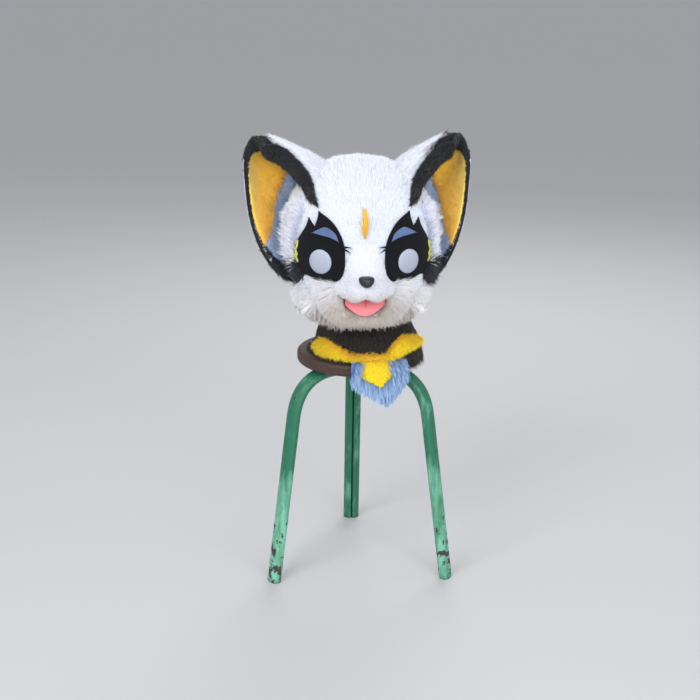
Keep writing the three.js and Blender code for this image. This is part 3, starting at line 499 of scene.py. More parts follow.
def eyePieces():
    sight = sightMeshMaterial()
    rise, pile = eyeLook["markRise"], eyeLook["markPile"]
    markProfile = [[0.03, rise + pile], [0.6, rise + pile], [0.92, rise + pile * 0.9], [1.0, rise], [0.5, rise - 1]]
    plates = {
        "eye_panel": (closedCurve(eyeLook["panel"], 6), eyeLook["centre"], eyeLook["panelProfile"], blackFelt,
                      "black_felt"),
        "eye_disc": (ellipse(**eyeLook["disc"]), eyeLook["disc"]["centre"], markProfile, sight, "sight_mesh"),
        "lid_mark": (closedCurve(eyeLook["lid"], 5), eyeLook["lidCentre"], markProfile, blueFelt, "blue_felt"),
        "eye_edge": (closedCurve(eyeLook["edge"], 5), eyeLook["edgeCentre"], markProfile, limeFelt, "lime_felt"),
    }
    for word, side in sides.items():
        for part, (outline, centre, profile, material, slot) in plates.items():
            surface = mirrored(plateSurface(outline, centre, profile), side)
            makePiece(f"{part}_{word}_felt", surface, material, slot, [f"{part}_{word}"])


# Lashes: thin curved felt points on the inner side of each eye
lashLook = {
    "rows": [[[36, 148], [29, 148.5], [21.5, 147.5]], [[36, 145], [30, 143], [23.5, 138]]],
    "wide": 4.6, "thick": 0.8, "stand": 8.0, "rootSunk": 1.5,
}


def lashPieces():
    # a lens-shaped profile carried along a bent line, wide at the root and fine at the tip
    t = np.linspace(0, 1, 12)
    turns = fullTurn(8)
    made = []
    for row in lashLook["rows"]:
        line = alongRows(row, t)
        aside = unit(np.stack([-np.gradient(line[:, 1]), np.gradient(line[:, 0])], -1))
        taper = 1.02 - t
        half = lashLook["wide"] / 2 * taper
        flat = line[:, None] + aside[:, None] * (half[:, None] * np.cos(turns))[..., None]
        height = lashLook["stand"] + lashLook["thick"] * taper[:, None] * np.sin(turns)
        height = height - lashLook["rootSunk"] * (1 - t)[:, None]
        made.append(ringSurface(facePoint(flat[..., 0], flat[..., 1], height)))
    for word, side in sides.items():
        makePiece(f"lashes_{word}_felt", mirrored(joined(*made), side), blackFelt, "black_felt", [f"lashes_{word}"])


eyePieces()
lashPieces()
print("eyes made")

# Muzzle, jaw and mouth: forms as in the solids, on finer grids and faded into the face
muzzleLook = {
    "rows": [[68, 62, 33], [76, 57, 41], [87, 45, 44], [100, 37, 39], [115, 34, 24], [133, 28, 10], [152, 20, 1]],
    "lipRise": [[6], [0], [2], [6], [10]],
    "lobe": 4.0, "lobeReach": 30.0, "lipRound": 5.0, "lipShare": 0.1, "fade": 4.0,
    "grid": [81, 61],
}
jawLook = {
    "half": [35, 78], "top": [69, 76], "fall": [31.5, 71], "sweep": 98.0, "square": [3.5, 2.0],
    "bulges": [[22], [26], [19], [9], [1.0]], "flatEnds": 0.75, "lipRound": 3.0, "lipShare": 0.12, "fade": 3.5,
    "grid": [97, 29],
}
mouthLook = {"centre": [0, 52.0], "half": [39, 23.0], "deep": 11.0, "paintedShadeSpan": [532, 560]}
tongueLook = {"half": 31.0, "low": 38.5, "high": 74.0, "front": 24.0, "bow": 5.0, "back": 8.0, "corner": 6.0,
              "crease": 5.0, "creaseHalf": 1.8, "creaseRuns": [0.25, 0.6], "grid": [61, 33], "paintedShadeSpan": [531, 560]}
noseLook = {
    "half": 15.5, "low": 88.0, "high": 106.0, "level": 0.45,
    "profile": [[0.9, -14], [0.98, -2], [1.0, 1.5], [0.985, 4], [0.93, 6.2], [0.82, 7.8], [0.62, 9], [0.34, 9.6],
                [0.1, 9.8]],
}
seatDepth = -3.0  # how deep a piece's back lies under the face
proud = 2.0  # how far its front stands off it


def muzzlePoint(across, along):
    # side to side and lip to bridge: a cosine bulge over the face with two lobes beside the middle groove;
    # the lip is rolled in and the other borders run out under the fur
    row = alongRows(muzzleLook["rows"], along)
    x = across * row[..., 1]
    rise = alongRows(muzzleLook["lipRise"], np.abs(x) / muzzleLook["rows"][0][1])[..., 0]
    z = row[..., 0] + rise * (1 - along) ** 2
    lobe = np.sin(np.pi * np.minimum(np.abs(x) / muzzleLook["lobeReach"], 1))
    bulge = np.cos(np.pi / 2 * across)
    height = proud + row[..., 2] * bulge + muzzleLook["lobe"] * (1 - along) ** 2 * lobe
    height = height - muzzleLook["lipRound"] * np.maximum(1 - along / muzzleLook["lipShare"], 0) ** 2 * bulge
    return x, z, height - muzzleLook["fade"] * np.maximum(np.abs(across) ** 8, along ** 10)


def jawPoint(across, along):
    # a crescent: a half-turn sweep whose half-width, top and fall grow from the square lip to the round chin
    turn = np.radians(jawLook["sweep"]) * across
    grown = (low + (high - low) * along for low, high in (jawLook[word] for word in ("half", "top", "fall", "square")))
    half, top, fall, square = grown
    bulge = alongRows(jawLook["bulges"], along)[..., 0]
    height = proud + bulge * (1 - jawLook["flatEnds"] * across ** 4)
    height = height - jawLook["fade"] * np.maximum(across ** 10, along ** 8)
    height = height - jawLook["lipRound"] * np.maximum(1 - along / jawLook["lipShare"], 0) ** 2
    return half * rooted(np.sin(turn), square), top - fall * rooted(np.cos(turn), square), height


def gridOf(columns, levels):
    along, across = np.meshgrid(np.linspace(0, 1, levels), np.linspace(-1, 1, columns), indexing="ij")
    return across, along


def reliefSurface(x, z, height, back):
    return sheetSurface(facePoint(x, z, height), facePoint(x, z, np.full_like(height, back)))


def tonguePoint(across, along):
    # narrower and rounder towards its tip, creased down the middle
    half = tongueLook["half"] * np.sqrt(np.minimum(1, 1.15 - (1 - along) ** 4))
    x = across * half
    low = tongueLook["low"] + tongueLook["corner"] * across ** 4
    z = low + (tongueLook["high"] - low) * along
    crease = tongueLook["crease"] * np.exp(-(x / tongueLook["creaseHalf"]) ** 2)
    crease = crease * smoothStep(along, *tongueLook["creaseRuns"])
    return x, z, tongueLook["front"] - tongueLook["bow"] * across ** 4 - tongueLook["back"] * along ** 2 - crease


def nosePoint(profile):
    # a rounded triangle drawn ring by ring over the end of the muzzle
    turns = fullTurn(48)
    scale, stand = np.asarray(profile)[:, :1], np.asarray(profile)[:, 1:]
    x = noseLook["half"] * scale * rooted(np.sin(turns), 2.3) * (0.8 + 0.28 * np.cos(turns))
    z = noseLook["low"] + (noseLook["high"] - noseLook["low"]) * (0.55 + 0.5 * scale * rooted(np.cos(turns), 2.5))
    level = np.full_like(x, noseLook["level"])
    side = alongRows(muzzleLook["rows"], level)[..., 1]
    base = facePoint(*muzzlePoint(x / side, level))[..., 1]
    return np.stack([x, base - stand, z + headForm["base"]], -1)


def fleeceMaterial(name, low, high, span):
    # brushed fleece: matt with a fine nap, darker towards the top, a painted shade under the upper lip
    material, tree, shader = newMaterial(name, roughness=0.85, specular=0.25, sheen=0.3)
    place = objectPlace(tree)
    nap = noise(tree, place, size=1.0, detail=3.0)
    depth = mixed(tree, mapped(tree, axesOf(tree, place)["Z"], (span[0] * mm, span[1] * mm)), low, high)
    link(tree, shader, {"Base Color": toned(tree, depth, mapped(tree, nap, (0.0, 1.0), (0.9, 1.1))),
                        "Normal": bump(tree, nap, strength=0.3, deep=0.3)})
    return material


def vinylMaterial():
    # soft vinyl: dark grey, satin, with a fine leather grain
    material, tree, shader = newMaterial("greySoftVinyl", roughness=0.42, specular=0.45)
    shader.inputs["Base Color"].default_value = linear("#26282d")
    grain = addNode(tree, "ShaderNodeTexVoronoi", {}, {"Vector": objectPlace(tree), "Scale": 1 / (0.9 * mm)})
    link(tree, shader, {"Normal": bump(tree, grain.outputs["Distance"], strength=0.25, deep=0.2)})
    return material


combForm = {  # places the fur is brushed away from, and the way it runs behind
    "nose": [0, -170, 610], "bridge": [0, -150, 604], "even": 150, "back": [0, 0.1, -1.6], "backRuns": [-10, 90],
}
# painted shade, warm and grey, low on the front of the face and round the mouth
shadeForm = {  # share, height where it starts, depth over which it grows, and where it fades
    "chin": [0.85, 584, 50, [95, 30]], "head": [0.8, 564, 60, [20, 100]],
}


def lowShade(word, aside, roots):
    share, top, fall, fades = shadeForm[word]
    return share * smoothStep(top - roots[:, 2], 0, fall) * smoothStep(aside, *fades)


def towardsChin(roots, normals):
    # short pile is brushed down and away from the nose
    return roots - np.array(combForm["nose"])


def chinShade(roots):
    # painted shade: the pile is greyer and warmer round the mouth and on the chin
    return lowShade("chin", np.abs(roots[:, 0]), roots)


pileLook = {"density": 150, "length": 5, "spread": 0.3, "width": 1.0, "lean": 0.62, "bend": 0.25, "droop": 0.05,
            "stray": 0.16, "lock": 9, "gather": 0.15, "sink": 1.4, "twist": 0.4, "stations": 1, "soften": 2}
jawPileLook = dict(pileLook, density=120, length=9, lock=8, gather=0.3, stations=2, sink=2)
# its mark colour is the warm grey of the painted shade round the mouth and on the chin
shortPile = furMaterial("whiteShortPile", root="#d9dbe6", tip="#f8f8fc", mark="#c0b5a9", uneven=0.05, lock=18)


def jawLength(roots):
    # short round the mouth, long enough at the border to hide it
    local = (roots - headOrigin)[:, [0, 2]] - mouthLook["centre"]
    return 0.6 + 1.5 * smoothStep(np.hypot(local[:, 0], 1.2 * local[:, 1]), 36, 66)


def frontOnly(roots, normals):
    return normals[:, 1] < 0.25


def facePieces():
    muzzle = reliefSurface(*muzzlePoint(*gridOf(*muzzleLook["grid"])), seatDepth)
    jaw = reliefSurface(*jawPoint(*gridOf(*jawLook["grid"])), seatDepth)
    padded = [
        furPiece("muzzle_pile", muzzle, pileLook, shortPile, "short_pile", ["muzzle"], towardsChin, frontOnly,
                 mark=chinShade, seed=11),
        furPiece("lower_jaw_pile", jaw, jawPileLook, shortPile, "short_pile", ["lower_jaw"], towardsChin, frontOnly,
                 jawLength, chinShade, seed=12),
    ]
    centre, deep = mouthLook["centre"], mouthLook["deep"]
    floorProfile = [[0.03, deep], [0.5, deep], [0.9, deep - 0.6], [1.0, deep - 3], [1.0, seatDepth], [0.5, seatDepth]]
    mouthFloor = plateSurface(ellipse(centre, mouthLook["half"]), centre, floorProfile)
    # mouth floor and tongue darker towards the top: painted shade under the upper lip
    mouthFleece = fleeceMaterial("wineFleece", "#b04d57", "#4c191f", mouthLook["paintedShadeSpan"])
    makePiece("mouth_floor_fleece", mouthFloor, mouthFleece, "mouth_fleece", ["mouth_floor"])
    pinkFleece = fleeceMaterial("pinkFleece", "#f78f96", "#c04f5a", tongueLook["paintedShadeSpan"])
    tongue = reliefSurface(*tonguePoint(*gridOf(*tongueLook["grid"])), mouthLook["deep"] + 0.5)
    padded.append(makePiece("tongue_fleece", tongue, pinkFleece, "pink_fleece", ["tongue"]))
    makePiece("nose_vinyl", ringSurface(nosePoint(noseLook["profile"])), vinylMaterial(), "nose_vinyl", ["nose"])


facePieces()
print("muzzle, mouth and nose made")

# White fur of the head
headFurLook = {"density": 28.5, "length": 14, "spread": 0.35, "width": 1.6, "lean": 0.72, "bend": 0.32, "droop": 0.06,
               "stray": 0.13, "lock": 15, "gather": 0.25, "sink": 3.0, "twist": 0.3, "stations": 2, "soften": 2}
# its mark colour is the warm grey of the painted shade low on the face and under the chin
whiteFur = furMaterial("whiteFauxFur", root="#d1d7e5", tip="#f4f7fd", mark="#c4b9ad", uneven=0.04, lock=22)
eyeMiddle = np.asarray(eyeLook["centre"])
eyeHole = eyeMiddle + eyeLook["clear"] * (closedCurve(eyeLook["panel"], 4) - eyeMiddle)
templeLook = {"rows": [[-90, 101, 10], [-70, 98, 19], [-42, 89, 21], [-18, 80, 18], [4, 72, 9]]}  # y, z, half-height

drawnIn = {  # height over the base and how far inward, at the wearer's left and right
    "head": {"left": [[0, 1], [20, 2], [46, 7], [90, 0]], "right": [[0, 1], [20, 2], [46, 9], [66, 9], [92, 0]]},
    "cheek": {"left": [[0, -4], [25, -4], [42, 4], [60, 8], [90, 0]],
              "right": [[0, -2], [18, -2], [36, 3], [48, 11], [60, 17], [75, 19], [90, 12]]},
    "temple": {"left": [[0, 0], [100, 0]], "right": [[50, 14], [66, 12], [84, 5], [100, 0]]},
    "templeLength": {"left": 1.0, "right": 0.6}, "cheekEnd": 6.0, "lift": {"left": 0.74, "right": 0.8}, "stays": 48.0,
    "across": [60, 112], "endRuns": [-22, 14],
}


def awayFromNose(roots, normals):
    # brushed away from the bridge of the nose, and down at the back of the head
    away = roots - np.array(combForm["bridge"])
    behind = smoothStep(roots[:, 1], *combForm["backRuns"])[:, None]
    return away / combForm["even"] + behind * np.array(combForm["back"])


def onTemple(local):
    rows = np.asarray(templeLook["rows"])
    middle, half = (np.interp(local[:, 1], rows[:, 0], rows[:, k], left=0, right=0) for k in (1, 2))
    return (np.abs(local[:, 0]) > 60) & (np.abs(local[:, 2] - middle) < half - 3)


def narrowed(surface, left, right, behind=0.0):
    # a form drawn in by the thickness of its pile, so the fur and not its backing makes the outline
    points, triangles = surface
    drawn = [np.interp(points[:, 2] - headForm["base"], *np.asarray(rows, float).T) for rows in (left, right)]
    inward = np.where(points[:, 0] > 0, *drawn) * smoothStep(np.abs(points[:, 0]), *drawnIn["across"])
    inward = inward + behind * smoothStep(points[:, 1], *drawnIn["endRuns"])
    return points - np.outer(np.sign(points[:, 0]) * inward, [1, 0, 0]), triangles


def lifted(surface, share):
    # the lower end of a cheek pushed up: below the height that stays, heights shrink to a share
    points, triangles = surface
    stays = headForm["base"] + drawnIn["stays"]
    z = np.where(points[:, 2] < stays, stays - share * (stays - points[:, 2]), points[:, 2])
    return np.column_stack([points[:, :2], z]), triangles


pileForm = {  # where the head's fur grows, and by how much it is shorter by the eyes and on the face
    "middle": 140, "eyeFront": -40, "front": [30, 80], "byEye": 0.55, "eyeRuns": [3, 26],
    "face": 0.5, "faceHeight": 110, "faceSize": 75,
}


def headKeep(roots, normals):
    # on the outside only, clear of the eyes and of the black temples
    local = roots - headOrigin
    outside = ((local - [0, 0, pileForm["middle"]]) * normals).sum(1) > 0
    flat = np.stack([np.abs(local[:, 0]), local[:, 2]], -1)
    front = local[:, 1] < pileForm["eyeFront"]
    return outside & ~(front & insideOutline(flat, eyeHole)) & ~onTemple(local)


def headLength(roots):
    # short on the face and round the eyes, long at the sides and back
    local = roots - headOrigin
    flat = np.stack([np.abs(local[:, 0]), local[:, 2]], -1)
    near = np.sqrt(((flat[:, None] - eyeHole[None, ::2]) ** 2).sum(-1)).min(1)
    front = smoothStep(-local[:, 1], *pileForm["front"])
    size = pileForm["faceSize"]
    face = np.exp(-(flat[:, 0] / size) ** 2 - ((flat[:, 1] - pileForm["faceHeight"]) / size) ** 2)
    byEye = 1 - pileForm["byEye"] * front * (1 - smoothStep(near, *pileForm["eyeRuns"]))
    return byEye * (1 - pileForm["face"] * front * face)


def headShade(roots):
    # painted shade: warmer and greyer low down on the front
    return lowShade("head", -roots[:, 1], roots)


headBacking = narrowed(solidSurface("head_shell"), *drawnIn["head"].values())
head = furPiece("head_fur", headBacking, headFurLook, whiteFur, "white_fur", ["head_shell"], awayFromNose, headKeep,
                headLength, headShade, seed=21)

# Forehead mark: yellow fibres among the white, thinning out to the edge of a drop
blazeLook = dict(headFurLook, density=70, length=10, half=10.5, low=160, high=208, lock=6, sink=1.5)
blazeFur = furMaterial("yellowBrushedFur", root="#f0c044", tip="#fbd45e", mark="#faf0cc", uneven=0.08, lock=7)


def blazeShare(roots):
    # 1 on the drop's middle line, 0 at its edge
    local = roots - headOrigin
    up = np.clip((local[:, 2] - blazeLook["low"]) / (blazeLook["high"] - blazeLook["low"]), 0, 1)
    half = blazeLook["half"] * np.sqrt(np.maximum(1 - (2 * up - 1) ** 2, 0)) * np.sqrt(0.2 + 0.8 * up)
    return 1 - np.abs(local[:, 0]) / np.maximum(half, 0.1)


furPiece("forehead_blaze_fur", solidSurface("forehead_blaze"), blazeLook, blazeFur, "yellow_fur", ["forehead_blaze"],
         awayFromNose, lambda roots, normals: smoothStep(blazeShare(roots), 0.0, 0.9) * (normals[:, 1] < -0.3),
         mark=lambda roots: 1 - smoothStep(blazeShare(roots), 0.05, 0.75), seed=22, skin=False)

# Fur sewn on the head's sides and under the chin
cheekLook = dict(headFurLook, density=85, length=13, lock=12, gather=0.08, lean=0.66, stray=0.1, width=1.9)
chinLook = dict(headFurLook, density=92, length=19, lock=6.0, gather=0.93, bend=0.2, stray=0.14, lean=0.72,
                width=1.4, half=84.0, low=9.0, high=20.0, rise=14.0)
templeFurLook = dict(headFurLook, density=110, length=22, lock=5, gather=0.5, stray=0.2, sink=2.0, width=1.2, lean=0.66)
blackFur = furMaterial("blackFauxFur", root="#0d0e11", tip="#2c2e35", mark="#4a423e",
                       uneven=0.12, lock=12, roughness=0.75)
streakedFur = furMaterial("greyBlackFauxFur", root="#08090c", tip="#383a43", mark="#4a423e",
                          uneven=0.5, lock=5, roughness=0.8)
# a paler copy of the white fur: painted light that lifts the shade on the cheeks' lower strands
cheekPaintedLightFur = furMaterial("whiteFauxFurPaintedLightCheeks", root="#e9e9ef", tip="#fafafd", mark="#cfc5ba", uneven=0.04, lock=22)
cheekComb = steady(0.5, 0.45, -0.8)  # down and out from the face
templeComb = steady(0.6, 0.8, -0.45)


def cheekLength(roots):
    # shorter towards the lower end
    return 1 - 0.5 * smoothStep(headForm["base"] + 40 - roots[:, 2], 0, 25)


def outward(roots, normals):
    return ((roots - headOrigin - [0, 0, 120]) * normals).sum(1) > 0


def chinSurface():
    # a strip along the lower border of the face
    across, along = gridOf(65, 5)
    x = chinLook["half"] * across
    z = chinLook["low"] + (chinLook["high"] - chinLook["low"]) * along
    z = z + chinLook["rise"] * across ** 2
    return reliefSurface(x, z, np.full_like(x, proud), seatDepth)


def leafSurface(rows, grid, sunk):
    # a leaf on the side of the head through rows of depth, height and half-height, its long borders sunk
    across, along = gridOf(*grid)
    row = alongRows(rows, along)
    y, z = row[..., 0], row[..., 1] + row[..., 2] * across
    return sheetSurface(sidePoint(y, z, proud - sunk * across ** 4), sidePoint(y, z, np.full_like(z, seatDepth)))


# the ruff's mark at 0.8 all over: painted shade under the chin
furPiece("chin_ruff_fur", chinSurface(), chinLook, whiteFur, "white_fur", ["chin_ruff"], downwards, outward,
         mark=always(0.8), seed=23)
for word, side in sides.items():
    cheek = lifted(solidSurface("cheek_tuft_left"), drawnIn["lift"][word])
    cheek = narrowed(cheek, *2 * [drawnIn["cheek"][word]], drawnIn["cheekEnd"])
    # the cheeks take half the head's painted shade low on the front
    furPiece(f"cheek_tuft_{word}_fur", cheek, cheekLook, cheekPaintedLightFur, "white_fur", [f"cheek_tuft_{word}"], cheekComb,
             outward, cheekLength, lambda roots: 0.5 * headShade(roots), seed=24 + side, side=side)
    temple = narrowed(leafSurface(templeLook["rows"], (17, 33), 4), *2 * [drawnIn["temple"][word]])
    furPiece(f"temple_fur_{word}_fur", temple, templeFurLook, streakedFur, "black_fur", [f"temple_fur_{word}"],
             templeComb, outward, always(drawnIn["templeLength"][word]), seed=27 + side, side=side)

# Ears: a wall through sections from the head to the tip, each from the front rim over ridge and back to the outer edge
earForm = {
    "sections": [
        [[50, -80, 168], [38, -4, 255], [92, 60, 150], [116, 2, 50]],
        [[78, -78, 216], [76, -4, 284], [128, 54, 206], [163, -16, 92]],
        [[102, -54, 251], [110, 4, 300], [158, 44, 242], [193, -22, 158]],
        [[134, -32, 278], [143, 8, 313], [184, 30, 270], [203, -21, 220]],
        [[172, -18, 299], [180, 0, 316], [200, 8, 300], [206, -16, 277]],
    ],
    "wall": [13.0, 5.0],
    "tipBlack": {"left": 31.0, "right": 19.0},
    "slim": {"in": 12.0, "across": [120.0, 205.0], "up": 5.0, "high": [745.0, 808.0]},  # the wearer's left ear
    "pile": 4.0,
    "amber": {"from": 0.345, "to": 0.95, "about": [0.3, 0.985], "pinch": 0.24},
    "blue": {"from": 0.2, "about": [0.42, 0.96]},
    "white": {"to": 0.13, "about": [0.3, 0.9]},
    "scallop": {"deep": 0.018, "count": 4},
    "mouth": [[-80, 152, 44], [-68, 158, 52], [-54, 160, 50], [-42, 156, 42]],  # fluff on the head: y, z, half-height
}
rimForm = {
    "start": [[81, 212], [87, 221]],  # on the face, across and up
    "stops": [[0.42, 0], [0.53, 0], [0.66, 0], [0.8, 0], [0.93, 0], [0.995, 0.15], [0.995, 0.5], [0.995, 0.85],
              [0.93, 1], [0.8, 1], [0.65, 1], [0.5, 1], [0.35, 1], [0.2, 1], [0.08, 1]],
    "widths": [[0.5, 1, 0], [6, 6, 0], [9, 8, 0], [12, 7, -3], [15, 6, -5], [16, 6, -6], [15, 6, -3], [13, 6, 2],
               [12.5, 6, 9], [6, 6, 4], [3.5, 5, 2], [3, 4, 1.5], [3, 4, 1], [3, 4, 1], [4, 4, 1], [6, 5, 2],
               [4, 3, 1]],
    # half towards the hollow, half across it, and the shift into the hollow
    "fur": [[0.6], [0.8], [0.9], [0.9], [0.8], [0.7], [0.65], [0.6], [0.55], [0.5], [0.4], [0.35],
            [0.35], [0.45], [0.7], [1.2], [1.0]],
}
earLook = {
    "shell": dict(headFurLook, density=34, length=13, sink=3.5),
    "rim": dict(headFurLook, density=75, length=13, sink=3.0, lock=7, gather=0.35, lean=0.66, stray=0.2, width=1.4),
    "lining": dict(headFurLook, density=62, length=10, sink=2.5, lock=12, gather=0.25, lean=0.72),
    "band": dict(headFurLook, density=95, length=13, sink=2.5, lock=7, gather=0.4, lean=0.7, stray=0.18),
    "fluff": dict(headFurLook, density=75, length=17, sink=2.5, lock=14, gather=0.3, lean=0.6, stray=0.2, twist=1.1),
}
earYellow = furMaterial("amberFauxFur", root="#ffc63c", tip="#ffe062", mark="#f8ea78",
                        uneven=0.07, lock=16, roughness=0.88, sheen=0.45)
shellFur = furMaterial("blackTippedWhiteFauxFur", root="#d3d8e6", tip="#fcfdff", mark="#1d1e23", uneven=0.04, lock=22)
# a paler copy of the white fur: painted light that lifts the shade in the ear's mouth
fluffPaintedLightFur = furMaterial("whiteFauxFurPaintedLightFluff", root="#dde3fa", tip="#fafbff", mark="#cfc5ba", uneven=0.05, lock=18)
earBlue = furMaterial("greyBlueFauxFur", root="#9fb8e2", tip="#d2e2fa", mark="#8ea0bf",
                      uneven=0.12, lock=9, roughness=0.88)
towardsTip = steady(0.85, 0.0, 0.5)


def earPoint(along, about):
    # a Catmull-Rom patch: along the sections, then through each section's four points
    sections = np.asarray(earForm["sections"], float)
    rows = alongRows(sections.reshape(len(sections), -1), along).reshape(*along.shape, 4, 3)
    place = np.clip(about, 0, 1) * 3
    start = np.minimum(place.astype(int), 2)[..., None, None]
    near = (np.take_along_axis(rows, np.clip(start + k, 0, 3), axis=-2)[..., 0, :] for k in (-1, 0, 1, 2))
    return between(*near, place[..., None] - start[..., 0])


def sunkEarPoint(along, about, share, more):
    # the same point moved into the hollow by a share of the wall and a few millimetres more
    step = 0.01
    a, r = np.clip(along, step, 1 - step), np.clip(about, step, 1 - step)
    inward = unit(np.cross(earPoint(a, r + step) - earPoint(a, r - step),
                           earPoint(a + step, r) - earPoint(a - step, r)))
    base, tip = earForm["wall"]
    depth = share * (base + (tip - base) * along) + more
    return earPoint(along, about) + inward * depth[..., None] + headOrigin


earMiddle = sunkEarPoint(np.array([0.5]), np.array([0.6]), 0.0, 60.0)  # in the hollow's middle


def scallop(about):
    return earForm["scallop"]["deep"] * np.cos(2 * np.pi * earForm["scallop"]["count"] * about)


def earLayer(start, end, about, columns, levels, low, high, pinch=0.0):
    # a sheet of the ear between two depths; where it starts and ends along the ear may change round it,
    # and it may be pinched towards the tip, where the ear is thin
    across, along = gridOf(columns, levels)
    first = about[0] + pinch * smoothStep(along, 0.3, 0.8)
    about = first + (about[1] - first) * (across + 1) / 2
    along = start(about) + (end(about) - start(about)) * along
    return sheetSurface(sunkEarPoint(along, about, *low), sunkEarPoint(along, about, *high))


def rimLine():
    # stations on the ear's free border, with the way along it, the way into the hollow and the way out of it
    stops = np.asarray(rimForm["stops"], float)
    t = np.linspace(0, 1, 96)
    start = np.asarray(rimForm["start"], float)
    onFace = facePoint(start[:, 0], start[:, 1], np.zeros(len(start)))
    line = alongRows(np.concatenate([onFace, sunkEarPoint(stops[:, 0], stops[:, 1], 0.5, 0.0)]), t)
    way = unit(np.gradient(line, axis=0))
    inward = earMiddle - line
    aside = unit(inward - (inward * way).sum(1, keepdims=True) * way)
    return t, line, way, aside


rimShare, rimPoints, rimWay, rimAside = rimLine()


def rimSurface():
    # an oval carried along the border, broad up the front and thin down the outer edge
    turns = fullTurn(20)
    half = alongRows(rimForm["widths"], rimShare)
    inward, across = half[:, 2:] + half[:, :1] * np.cos(turns), half[:, 1:2] * np.sin(turns)
    out = np.cross(rimWay, rimAside)
    return ringSurface(rimPoints[:, None] + rimAside[:, None] * inward[..., None] + out[:, None] * across[..., None])


def nearRim(roots):
    # each root's nearest station on the border, and how far off it is
    apart = ((roots[:, None] - rimPoints[None, ::3]) ** 2).sum(-1)
    near = apart.argmin(1)
    return near * 3, np.sqrt(apart[np.arange(len(roots)), near])


def rimComb(roots, normals):
    # down towards the head along the front, into the hollow along the outer edge, and on to the temple at its foot
    near = nearRim(roots)[0]
    t, way, aside = rimShare[near], rimWay[near], rimAside[near]
    outer, foot = smoothStep(t, 0.5, 0.62)[:, None], smoothStep(t, 0.85, 0.97)[:, None]
    edge = (1 - foot) * (aside - 0.3 * way) + foot * (way + 0.5 * aside)
    return (1 - outer) * (-way - 0.45 * aside) + outer * edge


def rimLength(roots):
    return alongRows(rimForm["fur"], rimShare[nearRim(roots)[0]])[:, 0]


def clearOfRim(roots, normals):
    # on the side of the hollow, and not on the border
    near, apart = nearRim(roots)
    return (apart > 11 + 10 * smoothStep(rimShare[near], 0.82, 0.95)) & inHollow(roots, normals)


def inHollow(roots, normals):
    return ((earMiddle - roots) * normals).sum(1) > 0


def onFluff(roots, normals):
    return inHollow(roots, normals) | (roots[:, 1] < -40)


def behindRim(roots, normals):
    near, apart = nearRim(roots)
    clear = 5 + 5 * smoothStep(rimShare[near], 0.56, 0.64)
    return (apart > clear) & ~inHollow(roots, normals)


def byRim(short, more, runs):
    # short by the border, so nothing stands out beyond the black
    return lambda roots: short + more * smoothStep(nearRim(roots)[1], *runs)


shellLength, liningLength = byRim(0.42, 0.58, [8, 30]), byRim(0.4, 0.6, [10, 28])


def shellComb(roots, normals):
    # towards the tip, but away from the border close to it
    near, apart = nearRim(roots)
    close = (1 - smoothStep(apart, 12, 36))[:, None]
    return (1 - close) * towardsTip(roots, normals) + close * unit(roots - rimPoints[near])


def tipBlack(reach):
    # the black of the border runs on over the top of the ear, up to its ridge
    def blackness(roots):
        near, apart = nearRim(roots)
        t = rimShare[near]
        return smoothStep(reach - apart, -3, 3) * smoothStep(t, 0.24, 0.32) * (1 - smoothStep(t, 0.56, 0.62))
    return blackness


def slimmed(points):
    # the ear at the wearer's left as it stands in the photo: its outer edge further in, its tip a little higher
    slim = earForm["slim"]
    x = points[:, 0] - slim["in"] * smoothStep(points[:, 0], *slim["across"])
    z = points[:, 2] + slim["up"] * smoothStep(points[:, 2], *slim["high"])
    return np.stack([x, points[:, 1], z], -1)


def amberEdge(roots):
    # yellower towards the ear's outer edge
    return 0.7 * smoothStep(roots[:, 0], 165, 205)


def earPieces():
    start = lambda word: (lambda about: np.full_like(about, earForm[word]["from"]) + scallop(about))
    level = lambda value: (lambda about: np.full_like(about, value))
    wall = ((0.0, 0.0), (1.0, 0.0))
    fleece = ((1.0, -1.5), (1.0, earForm["pile"]))
    wallSheet = earLayer(level(0.0), level(0.99), [0, 1], 49, 41, *wall)
    amberSheet = earLayer(start("amber"), level(earForm["amber"]["to"]), earForm["amber"]["about"], 41, 25, *fleece,
                          earForm["amber"]["pinch"])
    blueSheet = earLayer(start("blue"), start("amber"), earForm["blue"]["about"], 41, 9, *fleece)
    whiteSheet = joined(earLayer(level(0.0), level(earForm["white"]["to"]), earForm["white"]["about"], 41, 13, *fleece),
                        leafSurface(earForm["mouth"], (25, 17), 3))
    layers = {
        "shell": (wallSheet, shellFur, "white_fur", shellComb, behindRim, shellLength, None),
        "rim": (rimSurface(), blackFur, "black_fur", rimComb, everywhere, rimLength, noMark),
        "lining": (amberSheet, earYellow, "yellow_fur", towardsTip, clearOfRim, liningLength, amberEdge),
        "band": (blueSheet, earBlue, "blue_fur", towardsTip, inHollow, allOne, noMark),
        "fluff": (whiteSheet, fluffPaintedLightFur, "white_fur", towardsTip, onFluff, allOne, noMark),
    }
    for word, side in sides.items():
        for part, (surface, material, slot, comb, keep, scale, mark) in layers.items():
            piece = furPiece(f"ear_{part}_{word}_fur", surface, earLook[part], material, slot, [f"ear_{part}_{word}"],
                             comb, keep, scale, mark or tipBlack(earForm["tipBlack"][word]), seed=31 + len(part) + side,
                             side=side, shape=slimmed if word == "left" else None)


earPieces()

